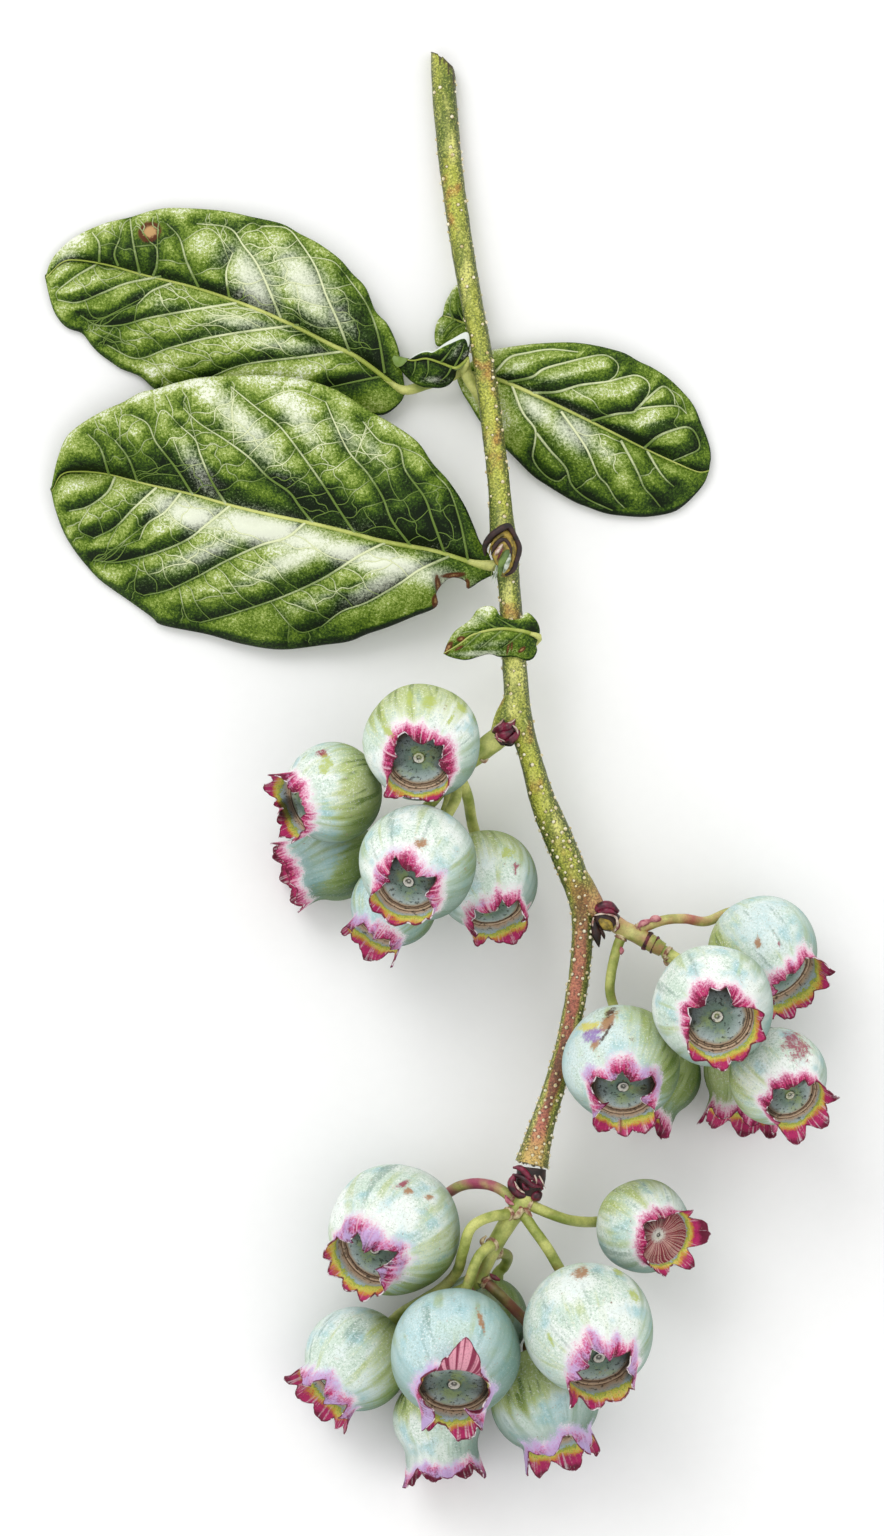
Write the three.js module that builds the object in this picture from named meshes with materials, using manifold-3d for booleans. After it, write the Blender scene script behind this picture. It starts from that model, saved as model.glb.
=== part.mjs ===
// A cut sprig of highbush blueberry, lying on a table.
//
// Millimetres, +Z up. The sprig lies along Y with its cut stem end at +Y and its lowest cluster at -Y.
// The origin is on the table, under the middle of the sprig. The table is the plane z = 0.
// Pieces that grow from one another are kept a small gap apart, so that each is a solid of its own.

import * as THREE from 'three';
import { mergeVertices } from 'three/addons/utils/BufferGeometryUtils.js';
import Module from 'manifold-3d';

const wasm = await Module();
wasm.setup();

// Driving dimensions, in millimetres and degrees.
const gap = 0.3; // between two neighbouring pieces
const leafThickness = 0.5;
const bladeStart = 0.03; // the blade's first and last sections, as shares of its midrib's length
const bladeEnd = 0.985;
const petioleRadius = 0.6;
const midribRadius = 0.42; // the petiole's run under the blade
const pedicelRadius = { upper: 0.62, right: 0.55, lower: 0.6 };
const pedicelSides = 6;
const twigSides = 8;
const stemSides = 10;
const stepsPerPoint = 2; // rings between two points of a route
const cutSlope = 0.78; // how much the cut end of the stem slants, as a rise over a run

// The shape of every berry, as fractions of its own radius.
const berry = {
  segments: 15, // three to each of the five calyx lobes
  lobes: 5,
  polarFlattening: 0.93,
  neckRadius: 0.52,
  lobeRadius: 0.66,
  lobeHeight: 1.12,
  notchDrop: 0.16, // the notch between two lobes is this much lower than their tips
  lipThickness: 0.07,
  cupRadius: 0.44,
  cupFloor: 0.74,
};

// Colours.
const colours = {
  bark: 0x8a8f4a,
  leaf: 0x2f5a33,
  youngLeaf: 0x6f8a4c,
  bud: 0x7a4a2c,
  scales: 0x6b2433,
  stalk: 0x8fa357,
  fruit: 0xa9c9c8,
};

function matte(colour, roughness) {
  return new THREE.MeshStandardMaterial({ color: colour, roughness, metalness: 0 });
}

const materials = {
  bark: matte(colours.bark, 0.7),
  leaf: matte(colours.leaf, 0.5),
  youngLeaf: matte(colours.youngLeaf, 0.6),
  bud: matte(colours.bud, 0.7),
  scales: matte(colours.scales, 0.7),
  stalk: matte(colours.stalk, 0.6),
  fruit: matte(colours.fruit, 0.55),
};

// ---------------------------------------------------------------------------------------------------
// Shape helpers

// Turns a closed geometry's faces outwards where its volume comes out negative.
function facingOut(geometry) {
  const position = geometry.getAttribute('position');
  const index = geometry.getIndex();
  const corners = [new THREE.Vector3(), new THREE.Vector3(), new THREE.Vector3()];
  let volume = 0;
  for (let face = 0; face < index.count; face += 3) {
    corners.forEach((corner, k) => corner.fromBufferAttribute(position, index.getX(face + k)));
    volume += corners[0].dot(corners[1].clone().cross(corners[2])) / 6;
  }
  if (volume < 0) {
    for (let face = 0; face < index.count; face += 3) {
      const [b, c] = [index.getX(face + 1), index.getX(face + 2)];
      index.setX(face + 1, c);
      index.setX(face + 2, b);
    }
  }
  return geometry;
}

// A closed geometry from a list of points and a list of faces.
function closedGeometry(points, faces) {
  const geometry = new THREE.BufferGeometry();
  const places = points.flatMap((point) => point.toArray());
  geometry.setAttribute('position', new THREE.Float32BufferAttribute(places, 3));
  geometry.setIndex(faces.flat());
  return facingOut(geometry);
}

// The solid inside a closed geometry.
function solidOf(geometry) {
  const bare = geometry.clone();
  bare.deleteAttribute('normal');
  bare.deleteAttribute('uv');
  const merged = mergeVertices(bare, 1e-5);
  return new wasm.Manifold(new wasm.Mesh({
    numProp: 3,
    vertProperties: new Float32Array(merged.getAttribute('position').array),
    triVerts: new Uint32Array(merged.getIndex().array),
  }));
}

// The geometry of a solid.
function geometryOf(solid) {
  const mesh = solid.getMesh();
  const geometry = new THREE.BufferGeometry();
  geometry.setAttribute('position', new THREE.BufferAttribute(new Float32Array(mesh.vertProperties), 3));
  geometry.setIndex(new THREE.BufferAttribute(new Uint32Array(mesh.triVerts), 1));
  return geometry;
}

// A geometry with the cutters' space taken out of it.
function trimmed(geometry, cutters) {
  const solid = cutters.reduce((rest, cutter) => rest.subtract(solidOf(cutter)), solidOf(geometry));
  return geometryOf(solid);
}

// A smooth curve through places given as [x, y, z, ...].
function curveThrough(route) {
  return new THREE.CatmullRomCurve3(route.map(([x, y, z]) => new THREE.Vector3(x, y, z)));
}

// The radius along a route of [x, y, z, radius] places, straight between one place and the next.
function radiusAlong(route, t) {
  const place = t * (route.length - 1);
  const index = Math.min(Math.floor(place), route.length - 2);
  return THREE.MathUtils.lerp(route[index][3], route[index + 1][3], place - index);
}

// A round stalk along a route of [x, y, z, radius] places, closed at both ends. The slant tips its first end.
function stalk(route, sides, { extra = 0, slant = 0 } = {}) {
  const curve = curveThrough(route);
  const rings = (route.length - 1) * stepsPerPoint;
  const across = new THREE.Vector3(1, 0, 0);
  const points = [];
  for (let ring = 0; ring <= rings; ring += 1) {
    const t = ring / rings;
    const centre = curve.getPoint(t);
    const along = curve.getTangent(t);
    const up = new THREE.Vector3().crossVectors(along, across).normalize();
    across.crossVectors(up, along).normalize();
    const radius = radiusAlong(route, t) + extra;
    for (let side = 0; side < sides; side += 1) {
      const angle = (2 * Math.PI * side) / sides;
      const point = centre.clone()
        .addScaledVector(across, radius * Math.cos(angle))
        .addScaledVector(up, radius * Math.sin(angle));
      const tip = ring === 0 ? slant * radius * Math.cos(angle) : 0;
      points.push(point.addScaledVector(along, tip));
    }
  }
  const start = points.push(curve.getPoint(0)) - 1;
  const end = points.push(curve.getPoint(1)) - 1;
  const faces = [];
  for (let side = 0; side < sides; side += 1) {
    const next = (side + 1) % sides;
    for (let ring = 0; ring < rings; ring += 1) {
      const [a, b] = [ring * sides + side, ring * sides + next];
      faces.push([a, a + sides, b], [b, a + sides, b + sides]);
    }
    faces.push([start, side, next], [end, rings * sides + next, rings * sides + side]);
  }
  return closedGeometry(points, faces);
}

// A leaf blade, lofted between its midrib and its two margins. All three run from the base to the tip.
function blade({ midrib, upper, lower, bow, stations = 12, halfColumns = 3 }) {
  const [middleCurve, upperCurve, lowerCurve] = [midrib, upper, lower].map(curveThrough);
  const columns = 2 * halfColumns + 1;
  const surface = [];
  for (let station = 0; station <= stations; station += 1) {
    const t = THREE.MathUtils.lerp(bladeStart, bladeEnd, station / stations);
    const middle = middleCurve.getPointAt(t);
    for (let column = -halfColumns; column <= halfColumns; column += 1) {
      const margin = (column < 0 ? lowerCurve : upperCurve).getPointAt(t);
      const out = Math.abs(column) / halfColumns;
      const point = middle.clone().lerp(margin, out);
      point.z += bow * Math.sin(Math.PI * out);
      surface.push(point);
    }
  }
  const at = (station, column) => surface[station * columns + column];
  const half = leafThickness / 2;
  const [top, bottom] = [[], []];
  for (let station = 0; station <= stations; station += 1) {
    for (let column = 0; column < columns; column += 1) {
      const ahead = at(Math.min(station + 1, stations), column);
      const behind = at(Math.max(station - 1, 0), column);
      const right = at(station, Math.min(column + 1, columns - 1));
      const left = at(station, Math.max(column - 1, 0));
      const along = ahead.clone().sub(behind);
      const across = right.clone().sub(left);
      const normal = along.cross(across).normalize();
      if (normal.z < 0) normal.negate();
      top.push(at(station, column).clone().addScaledVector(normal, half));
      bottom.push(at(station, column).clone().addScaledVector(normal, -half));
    }
  }
  const count = top.length;
  const faces = [];
  const quad = (a, b, c, d) => faces.push([a, b, c], [a, c, d]);
  for (let station = 0; station < stations; station += 1) {
    for (let column = 0; column < columns - 1; column += 1) {
      const a = station * columns + column;
      const [b, c, d] = [a + columns, a + columns + 1, a + 1];
      quad(a, d, c, b);
      quad(count + a, count + b, count + c, count + d);
    }
    const near = station * columns;
    const far = near + columns - 1;
    quad(near, near + columns, count + near + columns, count + near);
    quad(far, count + far, count + far + columns, far + columns);
  }
  for (let column = 0; column < columns - 1; column += 1) {
    const last = stations * columns + column;
    quad(column, count + column, count + column + 1, column + 1);
    quad(last, last + 1, count + last + 1, count + last);
  }
  return closedGeometry([...top, ...bottom], faces);
}

// ---------------------------------------------------------------------------------------------------
// Berries

// A berry's own direction: the way its crown points, from a compass angle in the table's plane
// (0 is +X, 90 is +Y) and a tilt away from straight up.
function crownDirection([compass, tilt]) {
  const [c, t] = [compass, tilt].map(THREE.MathUtils.degToRad);
  return new THREE.Vector3(Math.sin(t) * Math.cos(c), Math.sin(t) * Math.sin(c), Math.cos(t));
}

// The body of revolution from the stalk end, round the fruit, up the crown's wall and down into its cup.
// The three rings of the crown's rim are then raised at each lobe and lowered between the lobes.
function fruit({ at, radius, crown, flare = berry.lobeRadius, reach = berry.lobeHeight }, extra = 0) {
  const size = radius + extra;
  const polar = berry.polarFlattening;
  const bodyAngles = [0, 26, 52, 78, 104, 128, 148];
  const profile = bodyAngles.map((degrees) => {
    const angle = THREE.MathUtils.degToRad(degrees);
    return [Math.sin(angle), -polar * Math.cos(angle)];
  });
  const rim = [
    [flare, reach],
    [flare - berry.lipThickness, reach],
  ];
  const cup = [[berry.cupRadius, berry.cupFloor], [0, berry.cupFloor + berry.lipThickness]];
  const outline = [...profile, ...rim, ...cup].map(([x, y]) => new THREE.Vector2(x * size, y * size));
  const geometry = new THREE.LatheGeometry(outline, berry.segments);
  const position = geometry.getAttribute('position');
  const perLobe = berry.segments / berry.lobes;
  const rimRing = profile.length;
  for (let vertex = 0; vertex < position.count; vertex += 1) {
    const ring = vertex % outline.length;
    const segment = Math.floor(vertex / outline.length);
    const onRim = ring === rimRing || ring === rimRing + 1;
    if (onRim && segment % perLobe !== 0) {
      position.setY(vertex, position.getY(vertex) - berry.notchDrop * size);
    }
  }
  const turn = new THREE.Quaternion().setFromUnitVectors(new THREE.Vector3(0, 1, 0), crownDirection(crown));
  geometry.applyQuaternion(turn);
  geometry.translate(...at);
  return facingOut(geometry);
}

// Where a berry's stalk meets it.
function stalkEnd({ at, radius, crown }) {
  return new THREE.Vector3(...at).addScaledVector(crownDirection(crown), -berry.polarFlattening * radius);
}

// Each berry: its centre, its radius, the way its crown points and the route of its stalk, which starts
// inside the cluster's rachis and goes on into the berry.
const clusters = {
  upper: {
    rachis: [[5.9, 2.85, 9.6, 1.2], [4.4, 1.7, 9.7, 1.15], [2.6, 0.2, 9.8, 1.0], [1.1, -1.5, 9.8, 0.8]],
    berries: [
      { at: [-1.87, 2.81, 17.6], radius: 6.5, crown: [259, 23],
        route: [[2.6, 0.2, 9.8], [1.2, 3.2, 8.7], [-0.8, 5.8, 9.4]] },
      { at: [-11.66, -2.7, 12.7], radius: 5.6, crown: [198, 62],
        route: [[1.1, -1.5, 9.8], [-2.2, -0.6, 9.1], [-5.8, -0.8, 9.6]] },
      { at: [-11.44, -9.85, 4.85], radius: 4.85, crown: [202, 85],
        route: [[1.1, -1.5, 9.8], [-1.5, -4.5, 7.2], [-4.6, -7.0, 4.8]] },
      { at: [-2.31, -10.4, 20.4], radius: 6.5, crown: [243, 30],
        route: [[1.7, -0.8, 9.8], [1.9, -3.1, 11.0], [0.9, -5.1, 12.6]] },
      { at: [-5.0, -15.0, 10.4], radius: 4.8, crown: [239, 68],
        route: [[1.3, -1.3, 9.8], [1.1, -3.6, 8.7], [0.2, -6.0, 8.1], [-1.6, -9.2, 7.9]] },
      { at: [5.28, -12.38, 8.0], radius: 5.7, crown: [284, 55],
        route: [[2.0, -0.5, 9.8], [3.1, -3.0, 8.4], [3.6, -5.8, 5.4]] },
    ],
  },
  right: {
    rachis: [[20.1, -17.6, 10.0, 0.95], [21.6, -18.3, 10.3, 0.93], [23.4, -19.3, 10.6, 0.95],
      [24.6, -20.0, 10.7, 0.8]],
    berries: [
      { at: [35.64, -20.08, 9.0], radius: 6.15, crown: [310, 58],
        route: [[21.2, -18.1, 10.2], [24.5, -16.8, 10.5], [27.0, -16.6, 9.3], [29.4, -16.9, 7.5]] },
      { at: [29.92, -25.91, 21.5], radius: 6.7, crown: [287, 15],
        route: [[24.4, -19.9, 10.7], [26.8, -21.3, 11.6], [28.9, -23.2, 13.1]] },
      { at: [20.13, -32.73, 15.3], radius: 6.55, crown: [273, 37],
        route: [[20.4, -17.8, 10.0], [19.4, -20.4, 10.0], [18.8, -24.4, 9.6], [19.7, -27.5, 9.0]] },
      { at: [24.4, -33.9, 4.65], radius: 4.6, crown: [244, 80],
        route: [[24.6, -20.0, 10.7], [26.6, -23.5, 8.2], [26.2, -28.0, 4.6]] },
      { at: [34.5, -33.28, 5.4], radius: 5.4, crown: [258, 80],
        route: [[24.6, -20.0, 10.7], [29.3, -23.6, 8.2], [34.4, -26.6, 4.9]] },
      { at: [37.62, -34.38, 16.0], radius: 5.45, crown: [299, 35],
        route: [[24.6, -20.0, 10.7], [30.2, -25.0, 11.3], [34.6, -29.2, 11.4]] },
    ],
  },
  lower: {
    rachis: [[9.2, -47.7, 10.3, 1.05], [7.4, -50.3, 10.3, 1.0], [5.8, -53.1, 10.3, 0.9],
      [4.3, -56.6, 10.3, 0.7]],
    berries: [
      { at: [-4.9, -50.8, 10.0], radius: 7.3, crown: [216, 29],
        route: [[8.9, -48.1, 10.3], [6.8, -46.4, 9.3], [4.6, -45.8, 7.6], [2.2, -46.2, 5.5],
          [-0.4, -47.9, 3.3]] },
      { at: [-9.02, -65.18, 5.9], radius: 5.9, crown: [226, 72],
        route: [[8.3, -49.0, 10.3], [5.6, -49.3, 12.6], [3.5, -50.5, 13.3], [2.6, -53.2, 12.3],
          [2.0, -55.4, 9.4], [0.2, -57.4, 7.0], [-4.0, -60.1, 4.1]] },
      { at: [1.76, -64.08, 17.0], radius: 7.2, crown: [268, 41],
        route: [[6.4, -52.0, 10.3], [4.4, -53.6, 12.4], [3.3, -56.4, 12.1], [2.3, -58.9, 11.0]] },
      { at: [-0.11, -71.78, 5.0], radius: 5.0, crown: [277, 85], flare: 0.84, reach: 1.5,
        route: [[4.3, -56.6, 10.3], [0.4, -58.5, 9.5], [-1.4, -60.7, 7.6], [-2.0, -63.2, 5.6],
          [-1.4, -66.0, 4.7]] },
      { at: [16.39, -61.33, 17.2], radius: 7.2, crown: [290, 35],
        route: [[8.8, -48.3, 10.3], [10.2, -50.4, 11.4], [11.8, -52.6, 11.6], [13.6, -55.6, 10.9]] },
      { at: [11.66, -69.58, 7.6], radius: 6.1, crown: [287, 75],
        route: [[4.6, -56.0, 10.3], [6.9, -58.1, 11.0], [9.4, -60.7, 9.9], [10.4, -62.3, 7.6]] },
      { at: [22.44, -50.4, 10.0], radius: 5.25, crown: [332, 32],
        route: [[9.2, -47.7, 10.3], [12.2, -49.0, 10.4], [14.6, -49.8, 9.2], [17.4, -50.0, 7.2],
          [19.4, -49.3, 4.9]] },
      { at: [4.73, -60.78, 5.2], radius: 5.2, crown: [250, 88],
        route: [[5.8, -53.1, 10.3], [7.5, -53.7, 7.8], [7.2, -55.0, 5.3]] },
    ],
  },
};

// ---------------------------------------------------------------------------------------------------
// Stems: routes of [x, y, z, radius] places

const mainStem = [
  [0.4, 78.4, 1.45, 1.32], [0.7, 72.9, 1.7, 1.32], [1.4, 65.8, 2.1, 1.27], [2.4, 58.6, 2.7, 1.25],
  [3.6, 51.5, 3.6, 1.2], [4.7, 46.0, 4.5, 1.15], [5.6, 39.9, 5.4, 1.2], [6.5, 32.2, 6.6, 1.2],
  [6.9, 27.3, 7.3, 1.35], [7.2, 24.3, 7.6, 1.55], [7.7, 20.5, 8.0, 1.22], [8.2, 13.0, 8.7, 1.32],
  [8.8, 5.8, 9.3, 1.4], [10.0, 1.4, 9.6, 1.22], [11.4, -3.5, 9.7, 1.42], [13.3, -8.1, 9.7, 1.6],
  [15.3, -13.2, 9.7, 1.5], [15.8, -16.7, 9.6, 1.2], [15.6, -21.1, 9.5, 1.15], [15.0, -25.5, 9.4, 1.15],
  [14.0, -30.5, 9.4, 1.18], [12.6, -35.4, 9.6, 1.2], [11.2, -39.8, 9.9, 1.4], [10.2, -43.6, 10.1, 1.85],
];

const sideShoot = [
  [5.6, 39.2, 2.9, 0.75], [4.4, 41.4, 3.0, 0.72], [3.1, 43.4, 3.2, 0.68], [2.7, 45.3, 3.5, 0.55],
];

// The scaly foot of each cluster, from the stem to where the rachis comes out.
const budScales = {
  upper: [[8.7, 4.7, 10.2, 1.3], [7.6, 3.9, 10.0, 1.6], [6.3, 3.1, 9.7, 1.3]],
  right: [[17.0, -14.9, 9.9, 0.9], [18.2, -16.2, 10.0, 1.45], [19.6, -17.3, 10.0, 1.1]],
  tip: [[10.2, -44.0, 10.2, 1.75], [10.0, -45.6, 10.3, 1.95], [9.5, -47.2, 10.3, 1.4]],
};

const openingBud = [
  [7.3, 20.9, 10.3, 0.5], [7.4, 22.2, 10.4, 1.4], [7.2, 24.0, 10.4, 1.9], [7.0, 25.7, 10.3, 1.6],
  [6.9, 27.0, 10.0, 0.6],
];

// ---------------------------------------------------------------------------------------------------
// Leaves: the midrib and the two margins from base to tip, and the stalk from its foot into the blade

const leaves = {
  leaf_upper_left: {
    bow: 0.5,
    midrib: [[-3.9, 41.6, 2.2], [-9.8, 45.7, 2.8], [-17.7, 49.5, 3.6], [-23.5, 51.7, 3.8], [-31.4, 54.6, 3.2],
      [-39.0, 56.0, 2.0], [-43.5, 54.6, 0.9]],
    upper: [[-3.9, 41.6, 2.2], [-4.9, 46.4, 2.4], [-7.5, 52.4, 2.6], [-12.3, 57.0, 2.4], [-19.1, 60.7, 1.8],
      [-29.3, 62.0, 1.2], [-36.5, 60.2, 0.9], [-40.2, 58.0, 0.8], [-43.5, 54.6, 0.9]],
    lower: [[-3.9, 41.6, 2.2], [-7.5, 39.1, 1.2], [-12.0, 38.8, 1.0], [-18.6, 39.4, 1.0], [-26.3, 40.5, 0.9],
      [-33.8, 43.8, 0.5], [-40.0, 48.5, 0.4], [-43.1, 51.7, 0.6], [-43.5, 54.6, 0.9]],
    petiole: [[1.7, 43.5, 2.5], [-1.5, 42.4, 2.3], [-3.9, 41.6, 2.1], [-9.8, 45.7, 2.6]],
  },
  leaf_lower_left: {
    bow: 0.5,
    midrib: [[5.0, 22.4, 7.4], [1.2, 23.4, 7.4], [-9.8, 26.2, 7.5], [-17.5, 27.9, 7.3], [-25.2, 29.8, 6.5],
      [-31.8, 31.4, 5.1], [-38.4, 32.8, 3.0], [-42.5, 32.8, 1.6]],
    upper: [[5.0, 22.4, 7.4], [4.3, 23.6, 7.3], [3.2, 26.7, 7.1], [0.1, 32.8, 6.7], [-4.3, 37.7, 5.8],
      [-9.8, 41.3, 4.9], [-17.5, 43.2, 4.3], [-26.3, 43.2, 3.8], [-35.1, 40.5, 3.1], [-40.6, 36.9, 2.3],
      [-42.5, 32.8, 1.6]],
    lower: [[5.0, 22.4, 7.4], [4.3, 20.9, 6.9], [0.1, 18.1, 5.6], [-4.3, 16.0, 4.3], [-10.9, 13.8, 2.9],
      [-17.5, 13.2, 2.0], [-26.3, 14.8, 1.4], [-31.8, 16.8, 0.9], [-36.2, 20.7, 0.5], [-40.0, 24.5, 0.4],
      [-42.2, 29.5, 0.9], [-42.5, 32.8, 1.6]],
    petiole: [[5.7, 22.3, 7.6], [3.4, 22.8, 7.3], [-2.0, 24.2, 7.2], [-9.8, 26.2, 7.2]],
    bite: { at: [1.4, 19.3, 6], radius: 1.7, height: 8 },
  },
  leaf_right: {
    bow: 0.4,
    midrib: [[2.5, 43.8, 1.7], [6.7, 42.9, 1.7], [11.6, 40.8, 2.6], [16.6, 38.2, 3.2], [22.1, 35.8, 3.0],
      [26.5, 33.4, 2.2], [29.9, 32.4, 1.0]],
    upper: [[2.5, 43.8, 1.7], [3.9, 45.6, 1.4], [6.1, 46.2, 1.3], [8.9, 46.8, 1.4], [12.2, 47.1, 1.8],
      [17.7, 46.6, 2.2], [23.2, 44.7, 1.8], [27.6, 40.7, 1.2], [29.6, 36.6, 0.9], [29.9, 32.4, 1.0]],
    lower: [[2.5, 43.8, 1.7], [2.4, 42.3, 1.5], [4.7, 38.3, 1.2], [7.6, 35.0, 1.2], [11.1, 31.5, 1.3],
      [15.5, 29.1, 1.2], [19.9, 28.0, 0.8], [24.3, 28.1, 0.4], [28.1, 29.8, 0.5], [29.9, 32.4, 1.0]],
    petiole: [[1.9, 44.2, 2.2], [2.8, 43.8, 1.6], [6.7, 42.9, 1.4], [10.0, 41.6, 1.9]],
  },
  leaf_small_back: {
    bow: 0.2, stations: 8, halfColumns: 2,
    midrib: [[3.2, 46.6, 1.3], [2.4, 48.6, 1.3], [2.0, 51.0, 1.2], [2.0, 53.6, 0.7]],
    upper: [[3.2, 46.6, 1.3], [4.4, 48.0, 1.2], [4.4, 50.0, 1.1], [3.4, 52.3, 0.9], [2.0, 53.6, 0.7]],
    lower: [[3.2, 46.6, 1.3], [0.9, 46.6, 1.3], [-0.2, 48.0, 1.2], [0.5, 50.7, 1.0], [1.0, 52.3, 0.8],
      [2.0, 53.6, 0.7]],
    petiole: [[2.9, 46.1, 1.9], [3.1, 46.6, 1.4], [2.7, 47.8, 1.2]],
  },
  leaf_curled: {
    bow: 0.3, stations: 8, halfColumns: 2,
    midrib: [[2.9, 44.6, 4.6], [1.2, 44.6, 5.0], [-1.2, 45.0, 5.0], [-3.2, 44.7, 4.6], [-4.9, 45.2, 4.0]],
    upper: [[2.9, 44.6, 4.6], [3.1, 46.6, 5.0], [0.9, 46.9, 5.2], [-1.8, 46.0, 5.0], [-3.6, 45.2, 4.4],
      [-4.9, 45.2, 4.0]],
    lower: [[2.9, 44.6, 4.6], [1.6, 42.9, 4.3], [-1.0, 42.1, 4.0], [-2.8, 42.8, 3.8], [-4.4, 44.4, 3.8],
      [-4.9, 45.2, 4.0]],
    petiole: [[2.6, 44.6, 4.3], [1.6, 44.7, 4.6], [0.2, 44.8, 4.8]],
  },
  leaf_clasping: {
    bow: 0.3, stations: 8, halfColumns: 2,
    midrib: [[11.0, 14.4, 10.0], [8.2, 15.1, 11.0], [5.6, 15.1, 10.8], [2.9, 13.9, 10.0], [0.55, 12.5, 9.0]],
    upper: [[11.0, 14.4, 10.0], [10.6, 16.4, 10.0], [8.8, 16.9, 10.6], [6.4, 17.6, 10.4], [5.0, 17.6, 10.2],
      [3.0, 16.2, 9.8], [1.4, 14.6, 9.4], [0.55, 12.5, 9.0]],
    lower: [[11.0, 14.4, 10.0], [10.7, 12.7, 10.0], [8.6, 12.0, 10.6], [6.0, 12.2, 10.4], [3.4, 12.0, 9.8],
      [1.6, 11.9, 9.3], [0.55, 12.5, 9.0]],
    petiole: [[9.6, 14.8, 10.6], [7.4, 15.1, 10.8], [5.2, 15.0, 10.6]],
  },
};

// A leaf in one piece: the blade, the petiole that runs on under it as the midrib, and a bite in its margin.
function leafGeometry(leaf) {
  const petiole = leaf.petiole.map((place, index) => [...place, index < 2 ? petioleRadius : midribRadius]);
  let solid = solidOf(blade(leaf)).add(solidOf(stalk(petiole, pedicelSides)));
  if (leaf.bite) {
    const { radius, height } = leaf.bite;
    const bite = new THREE.CylinderGeometry(radius, radius, height, stemSides);
    bite.rotateX(Math.PI / 2).translate(...leaf.bite.at);
    solid = solid.subtract(solidOf(bite));
  }
  return geometryOf(solid);
}

// ---------------------------------------------------------------------------------------------------
// The sprig

const sprig = new THREE.Group();

function addPiece(name, geometry, material) {
  const mesh = new THREE.Mesh(geometry, material);
  mesh.name = name;
  sprig.add(mesh);
}

const stemSpace = stalk(mainStem, stemSides, { extra: gap });

addPiece('main_stem', stalk(mainStem, stemSides, { slant: cutSlope }), materials.bark);
addPiece('side_shoot', trimmed(stalk(sideShoot, twigSides), [stemSpace]), materials.bark);
addPiece('opening_bud', trimmed(stalk(openingBud, stemSides), [stemSpace]), materials.bud);
for (const [place, route] of Object.entries(budScales)) {
  addPiece(`bud_scales_${place}`, trimmed(stalk(route, twigSides), [stemSpace]), materials.scales);
}

const shootSpace = stalk(sideShoot, twigSides, { extra: gap });
const youngLeaves = ['leaf_small_back', 'leaf_curled', 'leaf_clasping'];
for (const [name, leaf] of Object.entries(leaves)) {
  const geometry = trimmed(leafGeometry(leaf), [stemSpace, shootSpace]);
  addPiece(name, geometry, youngLeaves.includes(name) ? materials.youngLeaf : materials.leaf);
}

for (const [cluster, { rachis, berries }] of Object.entries(clusters)) {
  addPiece(`rachis_${cluster}`, stalk(rachis, twigSides), materials.stalk);
  const taken = [stalk(rachis, twigSides, { extra: gap })];
  const fruitSpace = berries.map((one) => fruit(one, gap));
  berries.forEach((one, index) => {
    const number = index + 1;
    const radius = pedicelRadius[cluster];
    const route = [...one.route, stalkEnd(one).toArray()].map((place) => [...place, radius]);
    const pedicel = trimmed(stalk(route, pedicelSides), [...taken, fruitSpace[index]]);
    addPiece(`pedicel_${cluster}_${number}`, pedicel, materials.stalk);
    taken.push(stalk(route, pedicelSides, { extra: gap }));
    addPiece(`berry_${cluster}_${number}`, fruit(one), materials.fruit);
  });
}

export default sprig;
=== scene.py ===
import bmesh
import bpy
import math
import numpy as np
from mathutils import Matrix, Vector, kdtree, noise


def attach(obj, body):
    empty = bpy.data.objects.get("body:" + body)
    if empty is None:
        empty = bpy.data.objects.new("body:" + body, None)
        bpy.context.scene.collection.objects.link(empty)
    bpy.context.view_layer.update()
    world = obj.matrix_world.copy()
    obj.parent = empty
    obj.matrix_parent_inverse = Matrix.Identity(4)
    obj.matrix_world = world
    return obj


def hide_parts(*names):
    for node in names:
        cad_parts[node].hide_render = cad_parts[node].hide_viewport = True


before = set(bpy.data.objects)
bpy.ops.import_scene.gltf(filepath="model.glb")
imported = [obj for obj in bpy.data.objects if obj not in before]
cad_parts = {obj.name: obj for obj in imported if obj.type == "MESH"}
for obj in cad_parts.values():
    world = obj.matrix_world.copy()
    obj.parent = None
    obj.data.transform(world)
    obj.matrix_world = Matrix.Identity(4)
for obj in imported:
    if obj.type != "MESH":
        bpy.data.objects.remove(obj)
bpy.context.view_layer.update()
mm = 0.001
scene = bpy.context.scene


def smooth(x):  # 0 below 0, 1 above 1, with no corner between
    x = np.clip(x, 0.0, 1.0)
    return x * x * (3.0 - 2.0 * x)


def arcLengths(line):  # the length along a line up to each of its points
    return np.concatenate([[0], np.cumsum(np.linalg.norm(np.diff(line[:, :3], axis=0), axis=1))])


def smoothPath(points, count):  # a Catmull-Rom curve through the points, evenly spaced along its length
    p = np.array(points, float)
    p = np.vstack([2 * p[0] - p[1], p, 2 * p[-1] - p[-2]])
    t = np.linspace(0, 1, 24, endpoint=False)[:, None]
    runs = []
    for a, b, c, d in zip(p[:-3], p[1:-2], p[2:-1], p[3:]):
        runs.append(0.5 * (2 * b + (c - a) * t + (2 * a - 5 * b + 4 * c - d) * t ** 2
                           + (3 * b - a - 3 * c + d) * t ** 3))
    line = np.vstack(runs + [p[-2:-1]])
    length = arcLengths(line)
    at = np.linspace(0, length[-1], count)
    return np.stack([np.interp(at, length, column) for column in line.T], axis=1)


def addValues(mesh, layers):  # a number or a vector at every point, for each name
    for name, values in layers.items():
        values = np.asarray(values, np.float32)
        kind, field = ("FLOAT_VECTOR", "vector") if values.ndim == 2 else ("FLOAT", "value")
        mesh.attributes.new(name, kind, "POINT").data.foreach_set(field, values.ravel())


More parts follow.
